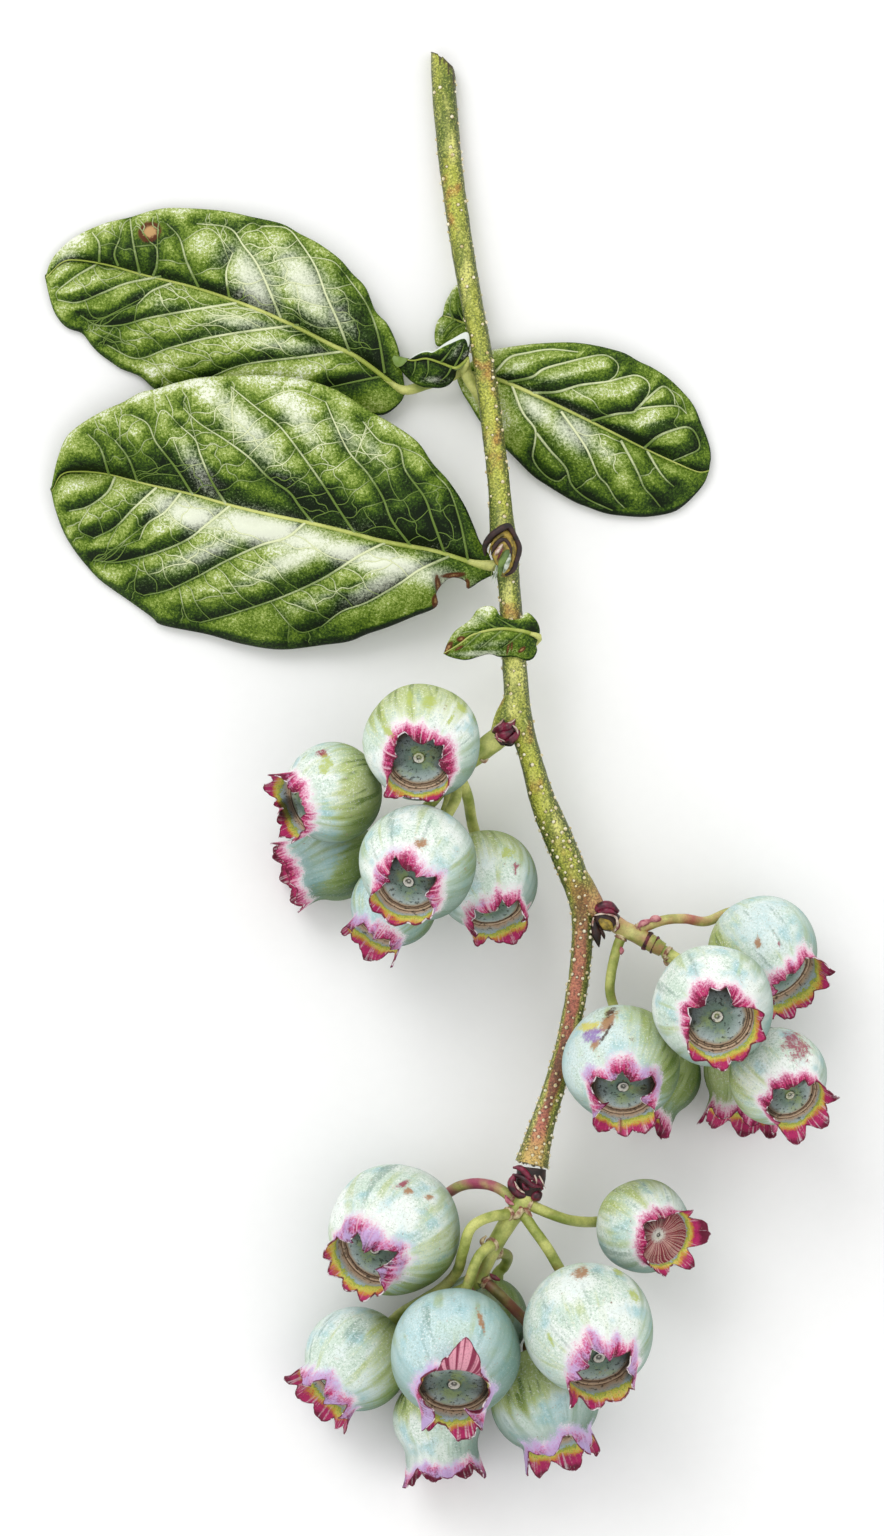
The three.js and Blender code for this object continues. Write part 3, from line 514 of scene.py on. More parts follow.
# One entry for each berry: centre, radius, crown (compass, tilt away from the viewer), then its calyx
# lobes as (angle round the crown from its lower side, half width, length in radii, inward curl), and
# the marks on its skin as (kind, x, y, half length, half width, turn, strength).
berries = {
    "upper_1": {
        "at": (-1.87, 2.81, 17.6), "r": 6.5, "crown": (259, 23), "green": (95, 0.8),
        "lobes": [(184, 28, 0.27, 105), (271, 46, 0.23, 85), (106, 34, 0.25, 90), (149, 13, 0.17, 70),
            (326, 24, 0.25, -15), (41, 30, 0.15, -10)],
        "marks": [("green", -3.2, 7.6, 0.35, 1.2, 0), ("green", -1.0, 7.3, 0.8, 1.1, 0),
            ("green", 2.5, 6.6, 0.7, 0.5, -40), ("green", 1.3, 5.4, 0.25, 1.1, -30),
            ("green", -5.6, 4.0, 1.1, 0.4, -40)]},
    "upper_2": {
        "at": (-11.66, -2.7, 12.7), "r": 5.6, "crown": (198, 62), "green": (0, 1.3), "paintedShade": 0.12,
        "lilac": 0.1,
        "lobes": [(270, 36, 0.32, -5), (225, 26, 0.26, 60), (180, 32, 0.32, 115), (135, 24, 0.22, 70),
            (90, 26, 0.3, 0), (45, 25, 0.26, -10), (5, 26, 0.46, 42), (315, 24, 0.28, -10)],
        "marks": [("red", -12.9, 1.7, 0.8, 0.35, 20), ("brown", -12.6, 1.5, 0.6, 0.4, 0),
            ("green", -12.5, 0.3, 1.2, 0.9, 60)]},
    "upper_3": {
        "at": (-11.44, -9.85, 4.85), "r": 4.85, "crown": (202, 85), "green": (-30, 1.4), "skirt": 0.34,
        "paintedShade": 0.5, "cool": 0.6,
        "lobes": [(270, 22, 0.24, -10), (222, 30, 0.24, 0), (178, 34, 0.22, 10), (134, 26, 0.22, 0),
            (90, 20, 0.24, -5), (45, 30, 0.26, 0), (0, 30, 0.26, 0), (315, 28, 0.26, 0)]},
    "upper_4": {
        "at": (-2.31, -10.4, 20.4), "r": 6.5, "crown": (243, 30), "green": (10, 0.35), "paintedShade": 0.14,
        "lilac": 0.3,
        "lobes": [(181, 40, 0.4, 95), (271, 48, 0.32, 80), (106, 30, 0.25, 75), (326, 24, 0.14, -20),
            (6, 22, 0.14, -10), (40, 16, 0.08, -15), (75, 18, 0.15, -5)],
        "marks": [("brown", -1.9, -8.2, 0.9, 0.7, 0)]},
    "upper_5": {
        "at": (-5.0, -15.0, 10.4), "r": 4.8, "crown": (239, 68), "green": (20, 0.8), "paintedShade": 0.2,
        "lilac": 0.5, "cool": 0.5,
        "lobes": [(180, 42, 0.32, 40), (245, 30, 0.32, 10), (290, 26, 0.3, -10), (330, 24, 0.16, -20),
            (10, 34, 0.36, -25), (80, 12, 0.44, -5), (120, 26, 0.22, 30)]},
    "upper_6": {
        "at": (5.28, -12.38, 8.0), "r": 5.7, "crown": (284, 55), "green": (80, 0.7), "paintedShade": 0.15,
        "lilac": 0.2, "cool": 0.2,
        "lobes": [(270, 30, 0.36, 30), (190, 30, 0.36, 70), (100, 24, 0.36, 20), (318, 18, 0.2, -10),
            (20, 40, 0.22, -20), (235, 14, 0.16, 50), (145, 16, 0.16, 50)],
        "marks": [("green", 7.6, -9.3, 0.9, 0.7, 0), ("red", 8.4, -11.1, 0.25, 0.9, 0),
            ("red", 8.4, -10.7, 0.6, 0.25, 0)]},
    "right_1": {
        "at": (35.64, -20.08, 9.0), "r": 6.15, "crown": (310, 58), "green": (215, 0.9), "paintedShade": 0.1,
        "lilac": 0.3, "cool": 0.3,
        "lobes": [(170, 46, 0.36, 85), (75, 26, 0.3, -10), (228, 20, 0.26, 60), (258, 18, 0.24, 45),
            (40, 24, 0.22, -20), (0, 24, 0.2, -20), (325, 22, 0.24, -15), (292, 16, 0.18, -10)],
        "marks": [("brown", 35.0, -19.2, 0.5, 0.7, 0), ("red", 37.3, -19.3, 0.25, 0.4, 0)]},
    "right_2": {
        "at": (29.92, -25.91, 21.5), "r": 6.7, "crown": (287, 15), "green": (250, 0.3), "paintedShade": 0.07,
        "lobes": [(205, 27, 0.28, 100), (120, 30, 0.28, 95), (255, 30, 0.16, 80), (165, 14, 0.1, 90),
            (85, 18, 0.2, -20), (55, 20, 0.22, -30), (310, 24, 0.18, -25), (345, 20, 0.28, -20),
            (15, 22, 0.22, -20), (281, 14, 0.17, 10)]},
    "right_3": {
        "at": (20.0, -32.35, 15.3), "r": 6.55, "crown": (273, 34), "green": (20, 0.8), "paintedShade": 0.12,
        "lilac": 0.5, "cool": 0.35,
        "lobes": [(155, 30, 0.32, 85), (202, 28, 0.24, 85), (280, 30, 0.4, 40), (80, 26, 0.34, 60),
            (322, 24, 0.22, -25), (358, 15, 0.2, -50), (30, 24, 0.26, -20)],
        "marks": [("gold", 16.4, -28.3, 1.5, 0.6, 12), ("violet", 16.8, -29.2, 1.3, 0.8, 20),
            ("brown", 18.4, -27.8, 1.8, 0.7, 52), ("brown", 17.1, -30.2, 0.9, 0.5, 60),
            ("dark", 18.7, -26.8, 1.0, 0.3, 40), ("dark", 18.2, -29.0, 1.7, 0.2, 58)]},
    "right_4": {
        "at": (24.4, -33.9, 4.65), "r": 4.6, "crown": (244, 80), "green": (0, 1.0), "skirt": 0.36,
        "paintedShade": 0.3, "lilac": 0.3, "cool": 0.3,
        "lobes": [(180, 34, 0.24, 15), (240, 24, 0.26, 0), (120, 26, 0.36, -5), (300, 30, 0.26, 0),
            (0, 34, 0.28, 0), (60, 28, 0.28, 0)]},
    "right_5": {
        "at": (34.5, -33.28, 5.4), "r": 5.4, "crown": (258, 80), "green": (180, 1.0), "skirt": 0.26,
        "paintedShade": 0.25,
        "lobes": [(268, 20, 0.36, -8), (215, 24, 0.24, 10), (165, 26, 0.26, 10), (115, 26, 0.26, 0),
            (60, 28, 0.28, 0), (10, 26, 0.28, -10), (318, 24, 0.28, -10)]},
    "right_6": {
        "at": (37.1, -33.8, 16.0), "r": 5.45, "crown": (303, 39), "green": (200, 0.6), "lilac": 0.1,
        "lobes": [(163, 38, 0.22, 80), (71, 24, 0.4, -5), (278, 22, 0.26, 30), (225, 20, 0.1, 60),
            (331, 26, 0.38, -25), (22, 28, 0.34, -25), (118, 18, 0.16, 60)],
        "marks": [("red", 39.0, -30.4, 2.1, 1.5, 120, 0.8)]},
    "lower_1": {
        "at": (-4.9, -50.8, 10.0), "r": 7.3, "crown": (220, 35), "squat": 1.0, "shoulder": 138.5,
        "green": (-50, 0.7), "lilac": 0.5,
        "lobes": [(262, 32, 0.34, 55), (200, 48, 0.5, 46), (112, 38, 0.34, 48), (322, 14, 0.16, -10),
            (349, 14, 0.15, -20), (18, 13, 0.14, -20), (44, 14, 0.18, -20), (72, 14, 0.16, -10)],
        "marks": [("red", -4.0, -45.6, 1.1, 0.35, 25), ("brown", -3.4, -46.4, 0.7, 0.5, 0),
            ("brown", -1.1, -47.0, 0.6, 0.5, 0)]},
    "lower_2": {
        "at": (-9.02, -65.18, 5.9), "r": 5.9, "crown": (226, 72), "green": (5, 0.9), "paintedShade": 0.12,
        "lilac": 0.6, "cool": 0.25,
        "lobes": [(235, 34, 0.32, 30), (165, 30, 0.38, 35), (90, 20, 0.36, -10), (118, 14, 0.3, 10),
            (300, 28, 0.3, -15), (340, 26, 0.3, -20), (20, 26, 0.3, -20), (58, 20, 0.3, -15)]},
    "lower_3": {
        "at": (1.76, -64.08, 17.0), "r": 7.2, "crown": (268, 41), "squat": 1.0, "shoulder": 139.0,
        "paintedShade": 0.3, "lilac": 0.7, "cool": 0.5,
        "lobes": [(296, 36, 0.46, 36), (66, 34, 0.44, 36), (172, 36, 0.66, -84), (317, 20, 0.26, -20),
            (17, 26, 0.26, -25), (52, 12, 0.26, -10)],
        "marks": [("brown", 4.6, -60.3, 0.35, 1.6, 15)]},
    "lower_4": {
        "at": (-0.11, -71.78, 5.0), "r": 5.0, "crown": (277, 85), "green": (90, 1.5), "skirt": 0.46,
        "paintedShade": 0.1, "lilac": 0.5,
        "lobes": [(180, 44, 0.3, 5), (250, 22, 0.42, -10), (110, 22, 0.36, -12), (70, 24, 0.3, 0),
            (30, 26, 0.3, 0), (345, 26, 0.3, 0), (300, 26, 0.3, -5)]},
    "lower_5": {
        "at": (16.39, -61.33, 17.2), "r": 7.2, "crown": (290, 41), "squat": 1.02, "shoulder": 140.0,
        "green": (20, 0.25), "lilac": 0.45, "cool": 0.1,
        "lobes": [(218, 32, 0.24, 70), (150, 38, 0.28, 84), (80, 32, 0.24, 66), (283, 20, 0.34, -5),
            (250, 14, 0.22, 50), (330, 18, 0.18, -15), (8, 20, 0.12, -10), (46, 18, 0.28, 20)],
        "marks": [("brown", 15.5, -55.1, 1.1, 0.7, 20), ("green", 19.6, -55.1, 0.9, 0.4, -40),
            ("green", 21.3, -57.5, 0.5, 1.0, 25), ("green", 12.2, -62.4, 0.3, 0.9, 25)]},
    "lower_6": {
        "at": (11.66, -69.58, 7.6), "r": 6.1, "crown": (287, 75), "green": (110, 1.5), "paintedShade": 0.35,
        "lilac": 0.8, "cool": 0.2,
        "lobes": [(262, 17, 0.42, -5), (205, 36, 0.36, 40), (128, 26, 0.42, 10), (320, 24, 0.36, -15),
            (60, 22, 0.32, -10), (10, 30, 0.38, -20)]},
    "lower_7": {
        "at": (22.44, -50.4, 10.0), "r": 5.25, "crown": (332, 32), "green": (110, 0.7), "redCup": 1.0,
        "paintedShade": 0.1, "lilac": 0.1, "cool": 0.1,
        "lobes": [(128, 40, 0.16, 60), (213, 36, 0.18, 60), (80, 13, 0.32, -30), (38, 32, 0.46, -35),
            (343, 18, 0.36, -40), (296, 18, 0.26, -30), (258, 18, 0.22, 0)]},
    "lower_8": {
        "at": (4.73, -60.78, 5.2), "r": 5.2, "crown": (250, 88), "green": (60, 0.8), "paintedShade": 0.45,
        "cool": 0.3,
        "lobes": [(180, 34, 0.28, 40), (250, 28, 0.28, 10), (310, 30, 0.28, -10), (20, 30, 0.28, -10),
            (75, 24, 0.28, -10), (125, 24, 0.28, 10)]},
}

berryForm = {
    "columns": 144, "bodyRows": 42, "wallRows": 10, "lobeRows": 18, "innerRows": 16, "floorRows": 22,
    "squat": 0.96, "shoulder": 136.0, "wall": 0.17, "wallLean": 112.0, "flareLean": 78.0,
    "rimMin": 0.05, "thick": 0.05, "thin": 0.02, "ragged": 0.012,
}
# the berries behind the others need fewer faces
behindForm = {**berryForm, "columns": 96, "bodyRows": 28, "wallRows": 8, "lobeRows": 14, "innerRows": 12,
              "floorRows": 16}
behindOthers = ("upper_3", "upper_5", "right_4", "right_5", "lower_2", "lower_4", "lower_6", "lower_7",
                "lower_8")
# the cup floor from its outer ring to the middle, as (distance from the axis, height), in radii
cupFloor = [(0.600, 0.680), (0.575, 0.635), (0.552, 0.668), (0.530, 0.630), (0.505, 0.675), (0.480, 0.640),
            (0.450, 0.675), (0.36, 0.690), (0.22, 0.680), (0.13, 0.655), (0.100, 0.690), (0.075, 0.700),
            (0.050, 0.665), (0.0, 0.650)]


def roundNoise(columns, waves, rng):  # a smooth wavy ring of values about 0
    angle = np.linspace(0, 2 * math.pi, columns, endpoint=False)
    return sum(size * np.sin(wave * angle + rng.uniform(0, 2 * math.pi)) for wave, size in waves)


def lobeShape(spec, form, rng):  # around the rim: lobe length, inward curl, wall lean, how far it folds in
    degrees = np.linspace(0, 360, form["columns"], endpoint=False)
    length = np.zeros(form["columns"])
    weights = np.full(form["columns"], 1e-6)
    curl = np.zeros(form["columns"])
    for angle, halfWidth, reachOut, bend in spec["lobes"]:
        away = np.abs((degrees - angle + 180.0) % 360.0 - 180.0) / halfWidth
        blunt = (1.5, 0.85) if bend > -60 else (1.0, 1.1)  # lobes folded right back end in a point
        length = np.maximum(length, reachOut * np.clip(1.0 - away ** blunt[0], 0.0, 1.0) ** blunt[1])
        weight = np.exp(-(away / 0.75) ** 2)
        weights += weight
        curl += weight * bend
    curl /= weights
    rough = roundNoise(form["columns"], [(11, 1.6), (17, 1.0), (29, 0.6), (47, 0.4)], rng)
    length = form["rimMin"] + length + form["ragged"] * rough * np.clip(length / 0.2, 0.35, 1.0)
    inward = smooth((curl + 20.0) / 80.0)
    lean = form["flareLean"] + (form["wallLean"] - form["flareLean"]) * inward
    curl += roundNoise(form["columns"], [(7, 9.0), (13, 7.0), (19, 5.0)], rng)
    return np.maximum(length, 0.02), curl, lean, inward


def shadeOn(verts, spec):  # painted shade on the sides and down to the right, away from the light, and where the skin is green
    away = (verts / mm - np.array(spec["at"])) / spec["r"]
    paintedShade = spec.get("paintedShade", 0.0) + 0.62 + away @ np.array([0.22, -0.26, -0.66])
    compass, amount = spec.get("green", (0, 0.0))
    turn = math.radians(compass)
    verdant = amount * (0.30 + 0.80 * (away @ np.array([math.cos(turn), math.sin(turn), 0.0])))
    return {"paintedShade": np.clip(paintedShade, 0, 1), "verdant": np.clip(verdant, 0, 1)}


def poleFaces(rows, columns):  # rings of points with one point at each end
    faces = [(0, 1 + (j + 1) % columns, 1 + j) for j in range(columns)]
    for row in range(rows - 3):
        a = 1 + row * columns
        b = a + columns
        faces += [(a + j, a + (j + 1) % columns, b + (j + 1) % columns, b + j) for j in range(columns)]
    last = 1 + (rows - 2) * columns
    a = last - columns
    return faces + [(a + j, a + (j + 1) % columns, last) for j in range(columns)]


def berryMesh(name, spec, form, rng):
    columns = form["columns"]
    theta = np.linspace(0, 2 * math.pi, columns, endpoint=False)
    length, curl, lean, inward = lobeShape(spec, form, rng)
    skirt = spec.get("skirt", 0.0)
    wall = form["wall"] + skirt
    shoulder = math.radians(spec.get("shoulder", form["shoulder"]) - 44.0 * skirt)
    squat = spec.get("squat", form["squat"])
    # body, from the stalk to the shoulder
    beta = (shoulder * np.linspace(0, 1, form["bodyRows"]) ** 0.9)[:, None] * np.ones(columns)
    rho = np.sin(beta) * (1.0 - 0.012 * (1.0 - np.cos(5 * theta + rng.uniform(0, 6))) * np.sin(beta) ** 2)
    rise = -squat * np.cos(beta) + 0.035 * np.exp(-(beta / 0.20) ** 2)
    # outer wall and lobes, following the direction psi
    psiStart = math.atan2(squat * math.sin(shoulder), math.cos(shoulder))
    w = np.linspace(0, 1, form["wallRows"] + 1)[1:, None]
    leanNow = np.radians(lean)
    psiWall = psiStart + (leanNow - psiStart) * smooth(w * 1.1)
    t = np.linspace(0, 1, form["lobeRows"] + 1)[1:, None] * length / 0.30
    psi = np.vstack([psiWall, leanNow + np.radians(curl) * np.clip(t, 0, 1.6) ** 1.1])
    step = np.vstack([np.full((form["wallRows"], columns), wall / form["wallRows"]),
                      np.tile(length / form["lobeRows"], (form["lobeRows"], 1))])
    outRho = np.maximum(rho[-1] + np.cumsum(np.cos(psi) * step, axis=0), 0.06)
    outRise = rise[-1] + np.cumsum(np.sin(psi) * step, axis=0)
    alongOut = np.cumsum(step, axis=0)
    # inner face, from the lobe edge down to half way down the wall
    keep = form["wallRows"] // 2
    last = len(outRho) - 1
    pick = np.round(np.linspace(last, keep, form["innerRows"])).astype(int)
    down = (last - pick)[:, None] / (last - keep)
    thick = form["thin"] + (form["thick"] - form["thin"]) * down
    inRho = np.maximum(outRho[pick] - np.sin(psi[pick]) * thick, 0.05)
    inRise = outRise[pick] + np.cos(psi[pick]) * thick
    alongIn = alongOut[-1] - alongOut[pick]
    # cup floor, from the wall to the middle
    f = np.linspace(0, 1, form["floorRows"] + 1)[1:, None] * np.ones(columns)
    floorLine = np.array(cupFloor) + np.array([0.0, skirt * 0.55])
    ease = (1.0 - f) ** 6 * 0.4
    lineRho, lineRise = (np.interp(f, np.linspace(0, 1, len(cupFloor)), line) for line in floorLine.T)
    lineRho += (inRho[-1] - floorLine[0, 0]) * ease
    lineRise += (inRise[-1] - floorLine[0, 1]) * ease * 0.5

    def bands(*values):  # values for the body, the outside, the inside and the floor in one grid
        return np.vstack([np.broadcast_to(value, like.shape) * 1.0
                          for value, like in zip(values, (rho, outRho, inRho, lineRho))])

    allRho = bands(rho, outRho, inRho, lineRho)
    allRise = bands(rise, outRise, inRise, lineRise)
    bodyArc = arcLengths(np.column_stack([rho[:, 0], rise[:, 0]]))
    softLength = 0.38 * length + 0.62 * length.mean()
    layers = {
        "rim": bands((bodyArc[-1] - bodyArc)[:, None] + wall + softLength,
                     np.maximum(softLength + wall - alongOut, 0.0), 0, 0),
        "edge": bands(1, length + wall - alongOut, alongIn, 1),
        "cup": bands(0, 0, np.clip(alongIn / alongIn[-1], 0, 1), 1.0 + f),
        "side": bands(0, 0, 1, 1),
        # the folded lobes keep the light off the wall and the floor just behind them
        "shaded": bands(0, 0, inward * (0.25 + 0.75 * np.clip(alongIn / 0.25, 0, 1)),
                        1.15 * inward * np.clip(lineRho / 0.54, 0, 1) ** 1.1),
        "flow": np.stack([bands(*[np.cos(theta)] * 4), bands(*[np.sin(theta)] * 4), allRise], -1),
        "outward": bands(0, 0, alongIn[-1] - alongIn, 0),
        "flap": bands(*[smooth((-curl - 52.0) / 14.0)] * 4),
    }
    # into place
    compass, tilt = (math.radians(v) for v in spec["crown"])
    east, north = math.cos(compass), math.sin(compass)
    axis = Vector((math.sin(tilt) * east, math.sin(tilt) * north, math.cos(tilt)))
    first = Vector((math.cos(tilt) * east, math.cos(tilt) * north, -math.sin(tilt)))
    second = axis.cross(first)
    local = (allRho * np.cos(theta))[..., None] * np.array(first) \
        + (allRho * np.sin(theta))[..., None] * np.array(second) + allRise[..., None] * np.array(axis)
    rows = len(allRho)

    def strip(values):  # the first and last rows are poles, with one point each
        flat = values.reshape(rows * columns, -1)
        out = np.vstack([flat[:1], flat[columns:(rows - 1) * columns], flat[-1:]])
        return out[:, 0] if out.shape[1] == 1 else out

    verts = strip(local * spec["r"] + np.array(spec["at"])) * mm
    layers = {key: strip(values) for key, values in layers.items()}
    layers.update(shadeOn(verts, spec))
    same = {"tone": rng.uniform(0, 1), **{key: spec.get(key, 0.0) for key in ("redCup", "lilac", "cool")}}
    layers.update({key: np.full(len(verts), value) for key, value in same.items()})
    return newObject(name, verts, poleFaces(rows, columns), layers), Vector(spec["at"]), axis


fruitLook = {
    "bloom": (238, 244, 237), "mint": (204, 222, 206), "blue": (156, 200, 206), "shade": (104, 138, 126),
    "leafy": (176, 190, 96), "leafyDeep": (98, 122, 44), "deep": (78, 106, 84), "crimson": (104, 16, 48),
    "magenta": (180, 40, 98), "pink": (214, 124, 162), "blushWhite": (238, 230, 233),
    "lilac": (188, 168, 214), "orange": (210, 128, 62), "yellow": (216, 210, 96), "lime": (160, 178, 76),
    "sky": (184, 204, 212),
    "disc": (110, 132, 120), "discPale": (174, 190, 192), "ring": (66, 40, 24), "ringPale": (204, 178, 150),
    "scar": (216, 214, 204), "dark": (22, 24, 20), "cupRed": (136, 48, 62), "cupPale": (214, 178, 166),
    "flapDark": (134, 46, 74), "flapPale": (216, 150, 166), "glint": (0.95, 0.97, 0.95, 1.0),
}
markTints = {"brown": (164, 112, 66), "red": (150, 44, 76), "green": fruitLook["leafy"],
             "gold": (214, 204, 84), "violet": (146, 112, 178), "dark": (70, 48, 34)}


def fruitMaterial(look):
    paint = Paint("berry_skin", look, roughness=0.6, specular=0.25, grain=(3900.0, 2.0, 0.9))
    over, mix, fade, times, noisy, grainy = (paint.over, paint.mix, paint.fade, paint.times, paint.noisy,
                                            paint.grainy)
    rim, edge, cup, outward, side, shaded, tone, paintedShade = (paint.attribute(key) for key in (
        "rim", "edge", "cup", "outward", "side", "shaded", "tone", "paintedShade"))
    fine = paint.math("SUBTRACT", paint.grain, 0.5)
    flow = paint.attribute("flow", "Vector")
    turned = times(tone, 40.0)

    def streaked(around, along, detail):
        scaled = paint.node("ShaderNodeVectorMath", {0: flow, 1: (around, around, along)},
                            operation="MULTIPLY")
        return paint.node("ShaderNodeTexNoise", {"Vector": scaled, "W": turned, "Scale": 1.0,
                                                 "Detail": detail}, noise_dimensions="4D").outputs["Fac"]

    # body: pale bloom over mint green, with leafy streaks running from stalk to crown
    broad = paint.noise(210.0)
    streaks = streaked(5.5, 0.9, 4.0)
    body = over("mint", "bloom", grainy(broad, 0.35), 0.38, 0.62)
    body = over(body, "blue", grainy(paint.noise(330.0, 2.0), 0.3), 0.50, 0.72, 0.75)
    body = over(body, "blue", grainy(noisy(paint.attribute("cool"), broad, 1.2), 0.6), 0.10, 0.80, 0.8)
    body = over(body, "shade", streaks, 0.42, 0.28, 0.55)
    thin = fade(grainy(streaked(9.0, 1.6, 2.0), 0.25), 0.52, 0.62)
    leafy = times(fade(grainy(streaks, 0.3), 0.52, 0.64), fade(broad, 0.62, 0.40))
    body = mix(times(leafy, 0.55), body, "leafy")
    verdant = grainy(noisy(paint.attribute("verdant"), streaks, 1.1), 0.7)
    body = over(body, "leafy", verdant, 0.34, 0.70, 0.8)
    body = mix(times(thin, fade(verdant, 0.45, 0.95, 0.0, 0.9)), body, "leafyDeep")
    # painted shade down the sides and to the lower right of each berry, greener where the skin is green
    low = grainy(noisy(paintedShade, streaks, 0.6), 0.5)
    body = over(body, over("shade", "leafyDeep", verdant, 0.3, 0.7), low, 0.22, 0.75, 0.72)
    body = over(body, "deep", low, 0.62, 1.15, 0.85)
    body = over(body, mix(0.5, body, "deep"), fine, 0.0, -0.20, 0.75)
    body = mix(times(fade(fine, 0.03, 0.18, 0.0, 0.7), fade(low, 0.75, 0.15, 0.25, 1.0)), body, "glint")
    # crown outside: white blush, pink and magenta up to a dark ragged edge
    wander = noisy(noisy(grainy(rim, 0.36), paint.noise(300.0, 2.0), 0.26), streaked(2.6, 0.4, 1.0), 0.50)
    crown = paint.ramp(wander, [(0.0, "crimson"), (0.03, "magenta"), (0.09, "magenta"), (0.19, "pink"),
                                (0.32, "blushWhite"), (0.44, "blushWhite")])
    crown = over(crown, "blushWhite", fine, 0.06, 0.20, 0.26)
    ribs = streaked(15.0, 0.8, 2.0)
    crown = over(crown, "blushWhite", ribs, 0.46, 0.34, 0.4)
    crown = mix(times(fade(ribs, 0.50, 0.62, 0.0, 0.75), fade(wander, 0.26, 0.06)), crown, "crimson")
    lilac = grainy(noisy(paint.attribute("lilac"), paint.noise(420.0, 2.0), 1.6), 0.8)
    crown = over(crown, "lilac", lilac, 0.30, 0.80, 0.8)
    skin = over(crown, body, wander, 0.26, 0.44)
    # inside of the lobes: pale blue and green at the foot, then yellow, orange and magenta at the tips
    reach = grainy(noisy(outward, paint.noise(420.0), 0.36), 0.22)
    wall = paint.ramp(reach, [(0.0, "sky"), (0.015, "lime"), (0.09, "yellow"), (0.155, "orange"),
                              (0.20, "magenta"), (0.30, "magenta"), (0.40, "crimson")])
    pale = times(fade(grainy(streaked(16.0, 1.2, 2.0), 0.3), 0.52, 0.70), fade(reach, 0.05, 0.2))
    wall = mix(times(pale, 0.5), wall, "blushWhite")
    striped = over("flapDark", "flapPale", streaked(14.0, 1.0, 2.0), 0.42, 0.58)
    wall = mix(paint.attribute("flap"), wall, striped)
    # cup floor: brown rings round a pale disc with the scar in its middle
    down = paint.math("SUBTRACT", cup, 1.0)
    floor = paint.ramp(noisy(grainy(down, 0.03), streaked(4.0, 1.0, 2.0), 0.07), [
        (0.0, "discPale"), (0.04, "ringPale"), (0.08, "ring"), (0.12, "ringPale"), (0.19, "ringPale"),
        (0.23, "ring"), (0.27, "ringPale"), (0.35, "ring"), (0.40, "ringPale"), (0.50, "discPale"),
        (0.62, "disc"), (0.72, "disc"), (0.78, "dark"), (0.83, "scar"), (0.90, "scar"), (0.95, "dark"),
        (1.0, "scar")])
    patchy = fade(grainy(paint.noise(520.0), 0.3), 0.48, 0.66, 0.0, 0.4)
    floor = mix(times(patchy, fade(down, 0.42, 0.52)), floor, "lime")
    floor = over(floor, "dark", paint.noise(2300.0, 2.0), 0.58, 0.66, 0.7)
    rays = over("cupRed", "cupPale", streaked(26.0, 1.0, 2.0), 0.44, 0.60, 0.75)
    floor = mix(times(paint.attribute("redCup"), fade(down, 0.9, 0.8)), floor,
                over("scar", rays, grainy(down, 0.2), 0.74, 0.62))
    inner = over(wall, floor, cup, 0.985, 1.015)
    inner = over(inner, mix(0.85, inner, "dark"), paint.plus(shaded, fine), 0.05, 0.95, 0.92)
    inner = over(inner, mix(0.7, inner, "dark"), fine, 0.0, -0.22, 0.55)
    colour = mix(side, skin, inner)
    colour = over(colour, "crimson", grainy(edge, 0.035), 0.034, 0.014, 0.9)
    glint = times(fade(paint.noise(900.0), 0.52, 0.60), fade(edge, 0.022, 0.006))
    colour = mix(times(glint, 0.85), colour, "blushWhite")
    # spots and scars
    blotch = paint.noise(1300.0)
    for mark, tint in markTints.items():
        amount = noisy(grainy(paint.attribute(mark + "Mark"), 1.7), blotch, 1.6)
        colour = over(colour, tint, amount, 0.35, 0.95, 0.88)
    paint.tree.links.new(fade(paint.grain, 0.3, 0.7, 0.55, 0.7), paint.shader.inputs["Roughness"])
    return paint.finish(colour, paint.plus(paint.grain, times(streaks, 1.2)), 0.035, 0.45)


def offMiddle(points, x, y, long, wide, turn):  # from 0 in the middle of an oval to 1 on its edge
    c, s = math.cos(math.radians(turn)), math.sin(math.radians(turn))
    dx, dy = points[:, 0] - x, points[:, 1] - y
    return np.hypot((dx * c + dy * s) / long, (-dx * s + dy * c) / wide)


def addMarks(piece, marks, centre):  # soft spots painted on the side that faces up
    co = pointsOf(piece.data)
    side = np.empty(len(co), np.float32)
    piece.data.attributes["side"].data.foreach_get("value", side)
    seen = (co[:, 2] > centre.z) & (side < 0.5)
    values = {kind: np.zeros(len(co)) for kind in markTints}
    for kind, x, y, long, wide, turn, *strength in marks:
        spot = np.clip(1.4 - offMiddle(co, x, y, long, wide, turn), 0, strength[0] if strength else 1)
        values[kind] = np.maximum(values[kind], spot * seen)
    addValues(piece.data, {kind + "Mark": amount for kind, amount in values.items()})


print("berries")
berrySkin = fruitMaterial(fruitLook)
berryRandom = np.random.default_rng(12)
berryAxis = {}
for key, spec in berries.items():
    form = behindForm if key in behindOthers else berryForm
    piece, centre, axis = berryMesh("berry_" + key, spec, form, berryRandom)
    addMarks(piece, spec.get("marks", ()), centre)
    piece.data.materials.append(berrySkin)
    berryAxis[key] = (centre, axis, spec["r"])
    handOver(piece, "berry_" + key)


